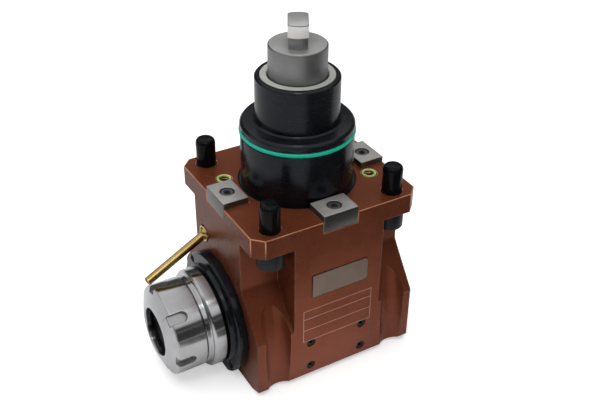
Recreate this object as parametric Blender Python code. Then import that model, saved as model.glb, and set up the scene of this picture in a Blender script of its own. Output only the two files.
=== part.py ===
"""Right-angle driven tool holder: a flanged housing with a round shank, a drive shaft, a pair of bevel gears
and a collet spindle. The shank axis is Z and the spindle points along -Y. The origin is on the base, under
the shank axis. All sizes below are millimetres."""

from math import asin, cos, pi, radians, sin, tan

import bmesh
import bpy
from mathutils import Matrix, Vector

MM = 0.001
GAP = 0.3
FIT = 0.2
ROUND = 32
SMALL_ROUND = 12
RACE_SIDES = 16

# Bearings: inner radius, outer radius, width
SHAFT_BEARING_BORE_R = 15.0
UPPER_BEARING_R = 23.5
UPPER_BEARING_W = 9.0
LOWER_BEARING_R = 27.5
LOWER_BEARING_W = 13.0
FRONT_BEARING_BORE_R = 17.6
FRONT_BEARING_R = 28.5
FRONT_BEARING_W = 18.0
REAR_BEARING_BORE_R = 10.2
REAR_BEARING_R = 19.9
REAR_BEARING_W = 12.0
UPPER_BEARING = (SHAFT_BEARING_BORE_R, UPPER_BEARING_R, UPPER_BEARING_W)
LOWER_BEARING = (SHAFT_BEARING_BORE_R, LOWER_BEARING_R, LOWER_BEARING_W)
FRONT_BEARING = (FRONT_BEARING_BORE_R, FRONT_BEARING_R, FRONT_BEARING_W)
REAR_BEARING = (REAR_BEARING_BORE_R, REAR_BEARING_R, REAR_BEARING_W)

# Shank, above the flange face
SHANK_R = 37.5
SHANK_STEP = 44.4
SHANK_NECK_R = 27.5
SHANK_TOP = 75.7
SPIGOT_R = 31.0
SPIGOT_DEPTH = 39.0
RELIEF_R = SHANK_R + 1.7
RELIEF_DEPTH = 1.0
RING_MINOR_R = 1.5
RING_Z = SHANK_STEP - 7.1
RING_GROOVE_R = SHANK_R - 2.6
RING_GROOVE_HALF = RING_MINOR_R + 0.4
SLEEVE_BORE_R = UPPER_BEARING_R + GAP
SLEEVE_LEDGE = SHANK_TOP - 9.7
SEAL_LEDGE = SHANK_TOP - 6.2
LOWER_BEARING_LOW = 0.5 - SPIGOT_DEPTH
LOWER_BEARING_TOP = LOWER_BEARING_LOW + LOWER_BEARING_W
UPPER_BEARING_TOP = SLEEVE_LEDGE - 0.6
UPPER_BEARING_LOW = UPPER_BEARING_TOP - UPPER_BEARING_W

# Drive shaft, above the flange face
SHAFT_R = 18.9
SHAFT_END = SHANK_TOP + 20.6
TANG_NECK = SHAFT_END + 6.7
TANG_TOP = SHAFT_END + 15.5
TANG_HALF_T = 6.5
TANG_R = 11.8
TANG_TURN = -29.5
TANG_UNDERCUT = 0.5
JOURNAL_R = SHAFT_BEARING_BORE_R - FIT
SHAFT_BODY_R = JOURNAL_R + 3.2
SEAL_W = 5.5
SEAL_SEAT_R = SHAFT_R + SEAL_W

# Locating keys and flange
KEY_L = 18.0
KEY_W = 25.2
KEY_H = 12.4
KEY_RISE = 4.2
KEY_CLEAR = 0.5
KEY_SCREW_R = 2.5
KEY_SCREW_HEAD_R = 4.3
KEY_SCREW_HEAD_H = 4.7
FLANGE_X = 2 * (SHANK_R + KEY_CLEAR + KEY_L)
FLANGE_Y = FLANGE_X + 10.0
FLANGE_T = 14.3
FLANGE_CORNER = 7.0
FLANGE_TOP = 127.5
EDGE = FLANGE_X / 2
FACE = FLANGE_Y / 2

# Mounting screws and their caps
SCREW_X = EDGE - 10.5
SCREW_Y = FACE - 15.6
SCREW_R = 6.0
SCREW_RISE = 18.0
SCREW_HEAD_R = 9.0
SCREW_HEAD_H = 12.0
SCREW_HOLE_R = SCREW_R + 1.0
CAP_R = SCREW_HOLE_R - 0.25
CAP_TOP = SCREW_RISE + 1.5
CAP_BORE_R = SCREW_R + 0.15

# Bevel gears with equal teeth
TEETH = 16
CONE_R = 33.9
FACE_WIDTH = 11.0
ADDENDUM_DEG = 3.6
DEDENDUM_DEG = 4.9
GEAR_BORE_R = 12.2
GEAR_HUB_R = 16.5
GEAR_HUB_TOP = 37.0
GEAR_SHOULDER = 14.4
GEAR_ROOM = 1.37
CHAMBER_R = CONE_R * sin(radians(45 + ADDENDUM_DEG)) + GEAR_ROOM

# Housing
SPINDLE_Z = 37.0
POCKET_X = EDGE - 22.5
COLUMN_Y = FACE - 27.4
SLOPE_TOP = 76.0
SLOPE_FOOT = 45.5
BASE_CHAMFER_X = 10.0
BASE_CHAMFER_Z = 3.8
KEY_GROOVE_R = SCREW_HEAD_R + GAP
KEY_GROOVE_LEAN = 9.2
KEY_GROOVE_PIVOT_Z = FLANGE_TOP - 26.0
PAST = 3.0

# Spindle side, forward of the shank axis
BEARING_FRONT = FACE - 3.0
BEARING_BACK = BEARING_FRONT - FRONT_BEARING_W
COVER_R = FRONT_BEARING_R + 14.8
COVER_FRONT = FACE + 6.7
COVER_LIP_R = COVER_R - 7.1
COVER_LIP_FRONT = COVER_FRONT + 2.7
COVER_FLAT_Z = 0.5
COVER_SPIGOT = FACE - 2.0
COVER_SCREW_R = COVER_R - 3.5
COLLAR_R = 34.5
COLLAR_REAR = COVER_LIP_FRONT + 1.6
COLLAR_FRONT = COLLAR_REAR + 9.0
SHOULDER_R = COLLAR_R - 3.5
SHOULDER_FRONT = COLLAR_FRONT + 3.5
HUB_R = 22.0
SEAL_POCKET_R = HUB_R + 4.6
SEAL_POCKET_FRONT = COVER_LIP_FRONT - 1.8
NUT_R = 31.5
NUT_L = 25.1
NUT_REAR = SHOULDER_FRONT + 0.4
NUT_FRONT = NUT_REAR + NUT_L
NUT_CONE = NUT_FRONT - 4.8
NUT_LIP = NUT_FRONT - 2.8
NUT_MOUTH_R = 17.0
NOSE_R = 24.8
NOSE_FRONT = NUT_LIP - 4.2
NUT_BORE_R = NOSE_R + 0.4
NUT_POCKET_R = NUT_BORE_R - 2.6
NUT_POCKET = NOSE_FRONT + 0.7
NUT_SLOTS = 6
NUT_SLOT_TURN = -11.0
NUT_SLOT_W = 7.0
NUT_SLOT_REAR = NUT_REAR + 9.1
NUT_SLOT_FLOOR = NUT_BORE_R + 2.6
SOCKET_R = 20.3
SOCKET_DEPTH = 40.0
SOCKET_HALF_ANGLE = 8.0
SOCKET_RELIEF_R = 6.0
SOCKET_RELIEF_L = 12.0

# Rear end of the spindle, behind the shank axis
REAR_BEARING_BACK = FACE - 8.0
REAR_BEARING_FRONT = REAR_BEARING_BACK - REAR_BEARING_W
REAR_SPIGOT_R = 23.7
REAR_SPIGOT = FACE - 2.1
REAR_PLATE_R = 30.0
REAR_PLATE_BACK = FACE + 4.2
REAR_SCREW_R = REAR_PLATE_R - 2.8
LOCK_NUT_R = 14.0
LOCK_NUT_W = 4.8

# Small socket screws in the covers
SMALL_SCREW_R = 1.5
SMALL_HEAD_R = 2.7
SMALL_HEAD_H = 2.6
SMALL_SCREW_L = 10.0
SMALL_SINK = 3.0

# Coolant ports, nozzle, plugs and plate
PORT_R = 3.0
PORT_RING_R = 4.2
PORT_RING_MINOR_R = 0.85
PORT_SEAT_R = PORT_RING_R + PORT_RING_MINOR_R + 0.35
PORT_WALL = 4.2
PORT_TURN_DEG = 64.9
PORT_REACH = RELIEF_R + PORT_SEAT_R + PORT_WALL
PORT_X = PORT_REACH * cos(radians(PORT_TURN_DEG))
PORT_Y = PORT_REACH * sin(radians(PORT_TURN_DEG))
PORT_SEAT_DEPTH = 1.4
CHANNEL_Z = FLANGE_TOP - 38.6
CHANNEL_R = 2.5
BALL_R = 4.4
BALL_FORWARD = FACE - 1.4
NOZZLE_REACH = (9.4, -48.4, -17.5)
NOZZLE_R = 2.9
NOZZLE_BORE_R = 2.0
SOCKET_RING_R = 5.9
PLUG_R = 4.7
PLUG_L = 7.5
PLATE_Y = (-20.3, 22.0)
PLATE_Z = (70.8, 88.2)
SIDE_PLUG_Y = 20.2
SIDE_PLUG_Z = (10.9, 31.3)
SIDE_PLUG_R = 2.9
SIDE_PLUG_L = 6.5

FORWARD = Matrix.Rotation(radians(90), 4, "X")
BACKWARD = Matrix.Rotation(radians(-90), 4, "X")
SPINDLE_AT = (0.0, 0.0, SPINDLE_Z)


def clear_scene():
    for thing in list(bpy.data.objects):
        bpy.data.objects.remove(thing, do_unlink=True)


def material(name, colour, roughness, metallic):
    made = bpy.data.materials.new(name)
    made.use_nodes = True
    shader = made.node_tree.nodes["Principled BSDF"]
    shader.inputs["Base Color"].default_value = (*colour, 1.0)
    shader.inputs["Roughness"].default_value = roughness
    shader.inputs["Metallic"].default_value = metallic
    return made


def place(name, bm, finish, at=(0.0, 0.0, 0.0), turn_z=0.0):
    """Makes a named object of a shape whose points are relative to the given place."""
    mesh = bpy.data.meshes.new(name)
    bmesh.ops.recalc_face_normals(bm, faces=bm.faces)
    if bm.calc_volume(signed=True) < 0:
        bmesh.ops.reverse_faces(bm, faces=bm.faces)
    bm.to_mesh(mesh)
    bm.free()
    mesh.shade_smooth()
    mesh.set_sharp_from_angle(angle=radians(35))
    return place_mesh(name, mesh, finish, at, turn_z)


def place_mesh(name, mesh, finish, at, turn_z=0.0):
    made = bpy.data.objects.new(name, mesh)
    if finish and not mesh.materials:
        mesh.materials.append(finish)
    made.location = Vector(at) * MM
    made.rotation_euler[2] = radians(turn_z)
    bpy.context.collection.objects.link(made)
    return made


def boolean(target, bm, name, operation="DIFFERENCE", at=(0.0, 0.0, 0.0), turn_z=0.0):
    """Cuts a shape out of an object, or joins it on, with a hidden guide object."""
    guide = place(name, bm, None, at, turn_z)
    guide.hide_render = True
    guide.display_type = "WIRE"
    step = target.modifiers.new(name, "BOOLEAN")
    step.object = guide
    step.operation = operation
    step.solver = "EXACT"


def turned(profile, count=ROUND):
    """Revolves (radius, height) points about Z. A profile that starts and ends at radius 0 is solid."""
    bm = bmesh.new()
    points = [bm.verts.new((r * MM, 0.0, z * MM)) for r, z in profile]
    ends = zip(points, points[1:])
    edges = [bm.edges.new(pair) for pair in ends]
    if profile[0][0] > 0:
        edges.append(bm.edges.new((points[-1], points[0])))
    bmesh.ops.spin(
        bm, geom=points + edges, cent=(0, 0, 0), axis=(0, 0, 1), angle=2 * pi, steps=count, use_merge=True
    )
    bmesh.ops.remove_doubles(bm, verts=bm.verts, dist=1e-6)
    return bm


def ring(inner, outer, low, high, count=ROUND):
    return turned([(inner, low), (outer, low), (outer, high), (inner, high)], count)


def rod(radius, low, high, count=SMALL_ROUND):
    return turned([(0, low), (radius, low), (radius, high), (0, high)], count)


def torus(major, minor, height, sides=8, count=ROUND):
    angles = [2 * pi * k / sides for k in range(sides)]
    return turned([(major + minor * cos(a), height + minor * sin(a)) for a in angles], count)


def lofted(sections, count):
    """Skins a stack of sections, each a function of the angle that gives (radius, height), and caps it."""
    bm = bmesh.new()
    loops = []
    for section in sections:
        loop = []
        for k in range(count):
            angle = 2 * pi * k / count
            r, z = section(angle)
            loop.append(bm.verts.new((r * cos(angle) * MM, r * sin(angle) * MM, z * MM)))
        loops.append(loop)
    for low, high in zip(loops, loops[1:]):
        for k in range(count):
            n = (k + 1) % count
            bm.faces.new((low[k], low[n], high[n], high[k]))
    return bm, loops


def circle_at(radius, height):
    return lambda angle: (radius, height)


def hexagon_at(across, height):
    sixth = pi / 3
    return lambda angle: (across / 2 / cos((angle + sixth / 2) % sixth - sixth / 2), height)


def block(x, y, z):
    bm = bmesh.new()
    bmesh.ops.create_cube(bm, size=1.0)
    for v in bm.verts:
        v.co = Vector([(lo + hi) / 2 + c * (hi - lo) for c, (lo, hi) in zip(v.co, (x, y, z))]) * MM
    return bm


def prism(outline, low, high, turn=None):
    """Extrudes a flat outline along Z, then turns it into place."""
    bm = bmesh.new()
    face = bm.faces.new([bm.verts.new((a * MM, b * MM, low * MM)) for a, b in outline])
    made = bmesh.ops.extrude_face_region(bm, geom=[face])
    top = [v for v in made["geom"] if isinstance(v, bmesh.types.BMVert)]
    bmesh.ops.translate(bm, verts=top, vec=(0, 0, (high - low) * MM))
    if turn:
        bm.transform(turn)
    return bm


def moved(bm, matrix):
    bm.transform(matrix)
    return bm


def shifted(bm, x=0.0, y=0.0, z=0.0):
    return moved(bm, Matrix.Translation(Vector((x, y, z)) * MM))


def joined(shapes):
    """Puts separate shapes into one."""
    total = bmesh.new()
    for bm in shapes:
        mesh = bpy.data.meshes.new("loose")
        bm.to_mesh(mesh)
        bm.free()
        total.from_mesh(mesh)
        bpy.data.meshes.remove(mesh)
    return total


def socket_screw(head_r, head_h, shank_r, length, across, socket_depth, tip=0.6, count=SMALL_ROUND):
    """A socket head screw, head up, with the underside of its head at height 0."""
    sections = [
        circle_at(shank_r - tip, -length),
        circle_at(shank_r, -length + tip),
        circle_at(shank_r, 0),
        circle_at(head_r, 0),
        circle_at(head_r, head_h),
        hexagon_at(across, head_h),
        hexagon_at(across, head_h - socket_depth),
    ]
    bm, loops = lofted(sections, count)
    bm.faces.new(loops[0])
    bm.faces.new(loops[-1])
    return bm


def grub_screw(radius, length, across, socket_depth):
    """A headless socket screw whose open end is at height 0."""
    sections = [
        circle_at(radius, -length),
        circle_at(radius, 0),
        hexagon_at(across, 0),
        hexagon_at(across, -socket_depth),
    ]
    bm, loops = lofted(sections, SMALL_ROUND)
    bm.faces.new(loops[0])
    bm.faces.new(loops[-1])
    return bm


def quadrants():
    """The four corners, counted from the front right and going round."""
    return [(1, -1), (1, 1), (-1, 1), (-1, -1)]


def ear_pockets():
    """The open space under each flange ear, whose floor slopes out to the lower body."""
    reach = EDGE + PAST
    fall = (SLOPE_TOP - SLOPE_FOOT) / (EDGE - POCKET_X)
    foot = SLOPE_TOP - fall * (reach - POCKET_X)
    ceiling = FLANGE_TOP - FLANGE_T
    outline = [(POCKET_X, ceiling), (POCKET_X, SLOPE_TOP), (reach, foot), (reach, ceiling)]
    shapes = []
    for sx, sy in quadrants():
        bm = prism([(sx * x, z) for x, z in outline], COLUMN_Y, FACE + PAST, FORWARD)
        if sy > 0:
            bm.transform(Matrix.Scale(-1, 4, (0, 1, 0)))
            bmesh.ops.reverse_faces(bm, faces=bm.faces)
        shapes.append(bm)
    return joined(shapes)


def key_grooves():
    """A leaning round groove below each mounting screw, for the ball end of its hexagon key."""
    top = SCREW_HEAD_H - (FLANGE_TOP - FLANGE_T - KEY_GROOVE_PIVOT_Z) - 14.0
    shapes = []
    for sx, sy in quadrants():
        lean = Matrix.Rotation(radians(-sx * KEY_GROOVE_LEAN), 4, "Y")
        at = Matrix.Translation(Vector((sx * SCREW_X, sy * SCREW_Y, KEY_GROOVE_PIVOT_Z)) * MM)
        shapes.append(moved(rod(KEY_GROOVE_R, -FLANGE_TOP, top, 28), at @ lean))
    return joined(shapes)


def base_chamfers():
    """The slanted strips along both sides of the base."""
    rise = BASE_CHAMFER_Z / BASE_CHAMFER_X
    start = EDGE - BASE_CHAMFER_X
    outline = [(start - PAST, -PAST * rise), (EDGE + PAST, -PAST * rise)]
    outline.append((EDGE + PAST, BASE_CHAMFER_Z + PAST * rise))
    shapes = []
    for side in (1, -1):
        points = [(side * x, z) for x, z in outline]
        shapes.append(prism(points, -FACE - PAST, FACE + PAST, FORWARD))
    return joined(shapes)


def flange_corners():
    shapes = []
    for sx, sy in quadrants():
        past = FLANGE_CORNER + PAST
        corner = [(EDGE - past, FACE + PAST), (EDGE + PAST, FACE - past), (EDGE + PAST, FACE + PAST)]
        points = [(sx * x, sy * y) for x, y in corner]
        shapes.append(prism(points, FLANGE_TOP - FLANGE_T - PAST, FLANGE_TOP + PAST))
    return joined(shapes)


def upright_bore():
    """The spigot's seat, the chamber under it and the relief round the shank."""
    floor = FLANGE_TOP - SPIGOT_DEPTH - GAP
    wide = SPIGOT_R + FIT
    relief = FLANGE_TOP - RELIEF_DEPTH
    top = FLANGE_TOP + PAST
    low = SPINDLE_Z + PAST
    profile = [(0, top), (RELIEF_R, top), (RELIEF_R, relief), (wide, relief), (wide, floor)]
    return turned(profile + [(CHAMBER_R, floor), (CHAMBER_R, low), (0, low)])


def lengthwise_bore():
    """Seats of the spindle bearings and the gear chamber between them, (radius, forward)."""
    chamber = CHAMBER_R - GAP
    chamber_back = -(REAR_BEARING_FRONT - 11.0)
    seat = BEARING_BACK - 0.4
    front_r = FRONT_BEARING_R + GAP
    rear_r = REAR_BEARING_R + GAP
    cover_r = REAR_SPIGOT_R + GAP
    seat_front = -(REAR_BEARING_FRONT - 0.4)
    seat_back = -(REAR_BEARING_BACK + 1.5)
    front = [(0, FACE + PAST), (front_r, FACE + PAST), (front_r, seat), (chamber, seat)]
    front.append((chamber, chamber_back))
    back = [(REAR_BEARING_R - 2.9, chamber_back), (REAR_BEARING_R - 2.9, seat_front), (rear_r, seat_front)]
    back += [(rear_r, seat_back), (cover_r, seat_back), (cover_r, -FACE - PAST), (0, -FACE - PAST)]
    return moved(turned(front + back, 36), FORWARD)


def drilled(places, radius, low, high, count=SMALL_ROUND):
    """Upright holes."""
    return joined([shifted(rod(radius, low, high, count), x, y) for x, y in places])


def drilled_forward(places, steps, count=SMALL_ROUND):
    """Stepped holes along the spindle axis, at (x, z). Each step is (radius, from, to), counted forward."""
    profile = [(0, steps[0][1])]
    for radius, start, end in steps:
        profile += [(radius, start), (radius, end)]
    profile.append((0, steps[-1][2]))
    return joined([shifted(moved(turned(profile, count), FORWARD), x, 0, z) for x, z in places])


def diagonal_places(radius):
    offset = radius * sin(radians(45))
    return [(sx * offset, SPINDLE_Z + sy * offset) for sx, sy in quadrants()]


def key_places():
    """Centre and turn of each locating key: right, back, left, front."""
    out_x = EDGE - KEY_L / 2
    out_y = FACE - KEY_L / 2
    return {
        "right": ((out_x, 0), 0),
        "back": ((0, out_y), 90),
        "left": ((-out_x, 0), 180),
        "front": ((0, -out_y), 270),
    }


def side_plug_places():
    return [(y, z) for z in SIDE_PLUG_Z for y in (-SIDE_PLUG_Y, SIDE_PLUG_Y)]


def key_seats(low):
    seats = []
    half_w = KEY_W / 2 + FIT - 0.05
    for (x, y), turn in key_places().values():
        seat = block((-KEY_L / 2 - FIT / 2, KEY_L / 2 + PAST), (-half_w, half_w), (low, FLANGE_TOP + PAST))
        spin = Matrix.Translation(Vector((x, y, 0)) * MM) @ Matrix.Rotation(radians(turn), 4, "Z")
        seats.append(moved(seat, spin))
    return joined(seats)


def port_holes():
    """The upright coolant channels, with their sealing rings' seats."""
    low = CHANNEL_Z - 1.3
    seat = FLANGE_TOP - PORT_SEAT_DEPTH
    top = FLANGE_TOP + PAST
    profile = [(0, low), (PORT_R, low), (PORT_R, seat), (PORT_SEAT_R, seat), (PORT_SEAT_R, top), (0, top)]
    return joined([shifted(turned(profile, 18), x, y) for x, y in ((PORT_X, PORT_Y), (-PORT_X, -PORT_Y))])


def housing(finish):
    body = place("housing", block((-EDGE, EDGE), (-FACE, FACE), (0, FLANGE_TOP)), finish)
    boolean(body, ear_pockets(), "cut_ear_pockets")
    boolean(body, key_grooves(), "cut_key_grooves")
    boolean(body, base_chamfers(), "cut_base_chamfers")
    boolean(body, flange_corners(), "cut_flange_corners")
    boolean(body, upright_bore(), "cut_upright_bore")
    boolean(body, lengthwise_bore(), "cut_lengthwise_bore", at=SPINDLE_AT)
    corners = [(sx * SCREW_X, sy * SCREW_Y) for sx, sy in quadrants()]
    under = FLANGE_TOP - FLANGE_T - PAST
    boolean(body, drilled(corners, SCREW_HOLE_R, under, FLANGE_TOP + PAST, 14), "cut_mounting_holes")
    seat_low = FLANGE_TOP + KEY_RISE - KEY_H - GAP
    boolean(body, key_seats(seat_low), "cut_key_seats")
    centres = [centre for centre, turn in key_places().values()]
    boolean(body, drilled(centres, KEY_SCREW_R + GAP, seat_low - 14, seat_low + 2), "cut_key_screw_holes")
    boolean(body, port_holes(), "cut_ports")
    inner_end = PORT_Y - 1.1
    seat = FACE - 9.0
    nozzle_hole = [(CHANNEL_R, inner_end, seat), (SOCKET_RING_R + GAP, seat, FACE + PAST)]
    plug_hole = [(PLUG_R + GAP, -FACE - PAST, -seat), (CHANNEL_R, -seat, -inner_end)]
    boolean(body, drilled_forward([(-PORT_X, CHANNEL_Z)], nozzle_hole, 20), "cut_nozzle_hole")
    boolean(body, drilled_forward([(PORT_X, CHANNEL_Z)], plug_hole, 20), "cut_plug_hole")
    screw_r = SMALL_SCREW_R + GAP
    front_holes = [(screw_r, FACE - SMALL_SCREW_L, FACE + PAST)]
    rear_holes = [(screw_r, -FACE - PAST, SMALL_SCREW_L - FACE)]
    boolean(body, drilled_forward(diagonal_places(COVER_SCREW_R), front_holes, 10), "cut_front_screw_holes")
    boolean(body, drilled_forward(diagonal_places(REAR_SCREW_R), rear_holes, 10), "cut_rear_screw_holes")
    wide = (PLATE_Y[0] - FIT, PLATE_Y[1] + FIT)
    tall = (PLATE_Z[0] - FIT, PLATE_Z[1] + FIT)
    boolean(body, block((EDGE - 0.5, EDGE + PAST), wide, tall), "cut_plate_seat")
    turn = Matrix.Rotation(radians(90), 4, "Y")
    hole = (SIDE_PLUG_R + GAP, EDGE - SIDE_PLUG_L - 2.5, EDGE + PAST)
    plugs = [shifted(moved(rod(*hole), turn), 0, y, z) for y, z in side_plug_places()]
    boolean(body, joined(plugs), "cut_side_plug_holes")


def shank(black, green, beige):
    t = FLANGE_TOP
    bottom = t - SPIGOT_DEPTH
    base = t - RELIEF_DEPTH + GAP
    groove = t + RING_Z
    bore_ledge = t + LOWER_BEARING_TOP + 1.0
    outer = [
        (SPIGOT_R, bottom), (SPIGOT_R, base), (SHANK_R, base),
        (SHANK_R, groove - RING_GROOVE_HALF), (RING_GROOVE_R, groove - RING_GROOVE_HALF),
        (RING_GROOVE_R, groove + RING_GROOVE_HALF), (SHANK_R, groove + RING_GROOVE_HALF),
        (SHANK_R, t + SHANK_STEP - 1.8), (SHANK_R - 1.5, t + SHANK_STEP), (SHANK_NECK_R, t + SHANK_STEP),
        (SHANK_NECK_R, t + SHANK_TOP - 1.2), (SHANK_NECK_R - 1.0, t + SHANK_TOP),
    ]
    mouth = SHAFT_R + 0.6
    inner = [
        (SEAL_SEAT_R, t + SHANK_TOP), (SEAL_SEAT_R, t + SEAL_LEDGE), (mouth, t + SEAL_LEDGE),
        (mouth, t + SLEEVE_LEDGE), (SLEEVE_BORE_R, t + SLEEVE_LEDGE), (SLEEVE_BORE_R, bore_ledge),
        (LOWER_BEARING_R + GAP, bore_ledge), (LOWER_BEARING_R + GAP, bottom),
    ]
    place("shank_sleeve", turned(outer + inner), black)
    ring_r = RING_GROOVE_R + GAP + RING_MINOR_R
    place("shank_o_ring", torus(ring_r, RING_MINOR_R, groove), green)
    lip = SHAFT_R + 0.5
    rim = SEAL_SEAT_R - GAP
    low = t + SEAL_LEDGE + 0.9
    seal = [(lip, low), (rim, low), (rim, low + 4.0), (lip + 1.6, low + 4.2), (lip, low + 3.0)]
    place("shaft_seal", turned(seal), beige)


def tang_outline(half_t, radius):
    """Two flats joined by round ends, turned to where the coupling rests."""
    start = radians(TANG_TURN)

    def reach(angle):
        across = abs(sin(angle - start))
        return min(radius, half_t / max(across, 1e-6))

    return reach


def drive_shaft(finish):
    t = FLANGE_TOP
    hub_top = SPINDLE_Z + GEAR_HUB_TOP + GAP
    foot = SPINDLE_Z + GEAR_SHOULDER + 0.1
    gear_seat = GEAR_BORE_R - FIT
    shoulder = t + LOWER_BEARING_TOP + 0.5
    upper = t + UPPER_BEARING_LOW - 0.4
    collar = t + SLEEVE_LEDGE + FIT
    widths = [
        (gear_seat - 0.7, foot), (gear_seat, foot + 0.7), (gear_seat, hub_top), (JOURNAL_R, hub_top),
        (JOURNAL_R, shoulder), (SHAFT_BODY_R, shoulder), (SHAFT_BODY_R, upper), (JOURNAL_R, upper),
        (JOURNAL_R, collar), (SHAFT_R, collar), (SHAFT_R, t + SHAFT_END - 1.0), (SHAFT_R - 0.9, t + SHAFT_END),
    ]
    neck = tang_outline(TANG_HALF_T - TANG_UNDERCUT, TANG_R - TANG_UNDERCUT)
    slab = tang_outline(TANG_HALF_T, TANG_R)
    top = tang_outline(TANG_HALF_T - 0.6, TANG_R - 0.6)
    sections = [circle_at(r, z) for r, z in widths]
    tang = [(neck, SHAFT_END), (neck, TANG_NECK), (slab, TANG_NECK), (slab, TANG_TOP - 0.6), (top, TANG_TOP)]
    for outline, z in tang:
        sections.append(lambda a, outline=outline, z=z: (outline(a), t + z))
    bm, loops = lofted(sections, 36)
    bm.faces.new(loops[0])
    bm.faces.new(loops[-1])
    place("drive_shaft", bm, finish)


def bearing(name, size, low, steel, cage, at=(0.0, 0.0, 0.0), turn=None, balls=8):
    """A ball bearing whose axis is Z, from height low up, or turned to lie along the spindle."""
    inner_r, outer_r, width = size
    span = outer_r - inner_r
    pitch = (inner_r + outer_r) / 2
    middle = low + width / 2
    ball_r = 0.24 * span
    race_r = 0.3 * span + 0.25
    shoulder = 0.2 * span
    sweep = asin(shoulder / race_r)
    steps = [sweep + (pi - 2 * sweep) * k / 2 for k in range(3)]
    groove = [(race_r * sin(a), race_r * cos(a)) for a in steps]
    high = low + width
    races = []
    for edge_r, side in ((outer_r, 1), (inner_r / cos(pi / RACE_SIDES), -1)):
        land = pitch + side * shoulder
        race = [(pitch + side * r, middle + z) for r, z in groove]
        races.append([(edge_r, low), (edge_r, high), (land, high)] + race + [(land, low)])
    outer, inner = races
    turn = turn or Matrix.Identity(4)
    place(name + "_outer_ring", moved(turned(outer, RACE_SIDES), turn), steel, at)
    place(name + "_inner_ring", moved(turned(inner, RACE_SIDES), turn), steel, at)
    half = 0.12 * span
    half_w = 0.4 * width
    rim = ring(pitch - half, pitch + half, middle - half_w, middle + half_w, 24)
    carrier = place(name + "_balls", moved(rim, turn), cage, at)
    spheres = bmesh.new()
    for k in range(balls):
        angle = 2 * pi * k / balls
        spot = Matrix.Translation(Vector((pitch * cos(angle), pitch * sin(angle), middle)) * MM)
        bmesh.ops.create_uvsphere(spheres, u_segments=6, v_segments=4, radius=ball_r * MM, matrix=spot)
    boolean(carrier, moved(spheres, turn), name + "_ball_guide", "UNION", at)


def bevel_gear(name, finish, turn, first_tooth):
    """A straight bevel gear whose cones meet at the local origin, which is on the spindle axis."""
    pitch = radians(45)
    tip = pitch + radians(ADDENDUM_DEG)
    root = pitch - radians(DEDENDUM_DEG)
    step = 2 * pi / TEETH
    shares = [(-0.31, root), (-0.13, tip), (0.13, tip), (0.31, root)]
    bm = bmesh.new()

    def toothed(cone_r):
        loop = []
        for tooth in range(TEETH):
            for share, cone in shares:
                angle = first_tooth + (tooth + share) * step
                r = cone_r * sin(cone) * MM
                loop.append(bm.verts.new((r * cos(angle), r * sin(angle), cone_r * cos(cone) * MM)))
        return loop

    def plain(radius, height):
        loop = []
        for tooth in range(TEETH):
            for share, cone in shares:
                angle = first_tooth + (tooth + share) * step
                loop.append(bm.verts.new((radius * cos(angle) * MM, radius * sin(angle) * MM, height * MM)))
        return loop

    small_root = (CONE_R - FACE_WIDTH) * cos(root)
    back = CONE_R * cos(root) + 3.5
    loops = [
        plain(GEAR_BORE_R, small_root), toothed(CONE_R - FACE_WIDTH), toothed(CONE_R),
        plain(CONE_R * sin(root) - 1.6, back), plain(GEAR_HUB_R, back),
        plain(GEAR_HUB_R, GEAR_HUB_TOP), plain(GEAR_BORE_R, GEAR_HUB_TOP),
    ]
    count = 4 * TEETH
    for low, high in zip(loops, loops[1:] + loops[:1]):
        for k in range(count):
            n = (k + 1) % count
            bm.faces.new((low[k], low[n], high[n], high[k]))
    place(name, moved(bm, turn), finish, SPINDLE_AT)


def spindle(finish):
    tip_r = SOCKET_R - SOCKET_DEPTH * tan(radians(SOCKET_HALF_ANGLE))
    floor = NOSE_FRONT - SOCKET_DEPTH
    tail = -(FACE - 3.2)
    tail_r = REAR_BEARING_BORE_R - GAP
    gear_seat = GEAR_BORE_R - FIT
    relief = gear_seat - 0.5
    hub_top = GEAR_HUB_TOP + GAP
    journal = FRONT_BEARING_BORE_R - GAP
    seal_start = FACE - 0.6
    outer = [
        (0, tail), (tail_r - 0.5, tail), (tail_r, tail + 0.6), (tail_r, 0.8 - REAR_BEARING_FRONT),
        (relief, 0.8 - REAR_BEARING_FRONT), (relief, GEAR_SHOULDER), (gear_seat, GEAR_SHOULDER),
        (gear_seat, hub_top), (journal, hub_top), (journal, seal_start), (HUB_R, seal_start),
        (HUB_R, COLLAR_REAR),
        (COLLAR_R - 0.8, COLLAR_REAR), (COLLAR_R, COLLAR_REAR + 0.8), (COLLAR_R, COLLAR_FRONT - 1.6),
        (COLLAR_R - 1.0, COLLAR_FRONT), (SHOULDER_R, COLLAR_FRONT), (SHOULDER_R, SHOULDER_FRONT),
        (NOSE_R, SHOULDER_FRONT), (NOSE_R, NOSE_FRONT - 1.0), (NOSE_R - 1.0, NOSE_FRONT),
    ]
    bore = [
        (SOCKET_R, NOSE_FRONT), (tip_r, floor), (SOCKET_RELIEF_R, floor),
        (SOCKET_RELIEF_R, floor - SOCKET_RELIEF_L), (0, floor - SOCKET_RELIEF_L),
    ]
    place("spindle", moved(turned(outer + bore), FORWARD), finish, SPINDLE_AT)


def stadium(width, rear, front):
    """A slot outline with a round rear end, (across, forward)."""
    half = width / 2
    arc = [(half * cos(a), rear + half - half * sin(a)) for a in (pi * k / 6 for k in range(7))]
    return [(half, front)] + arc + [(-half, front)]


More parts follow.
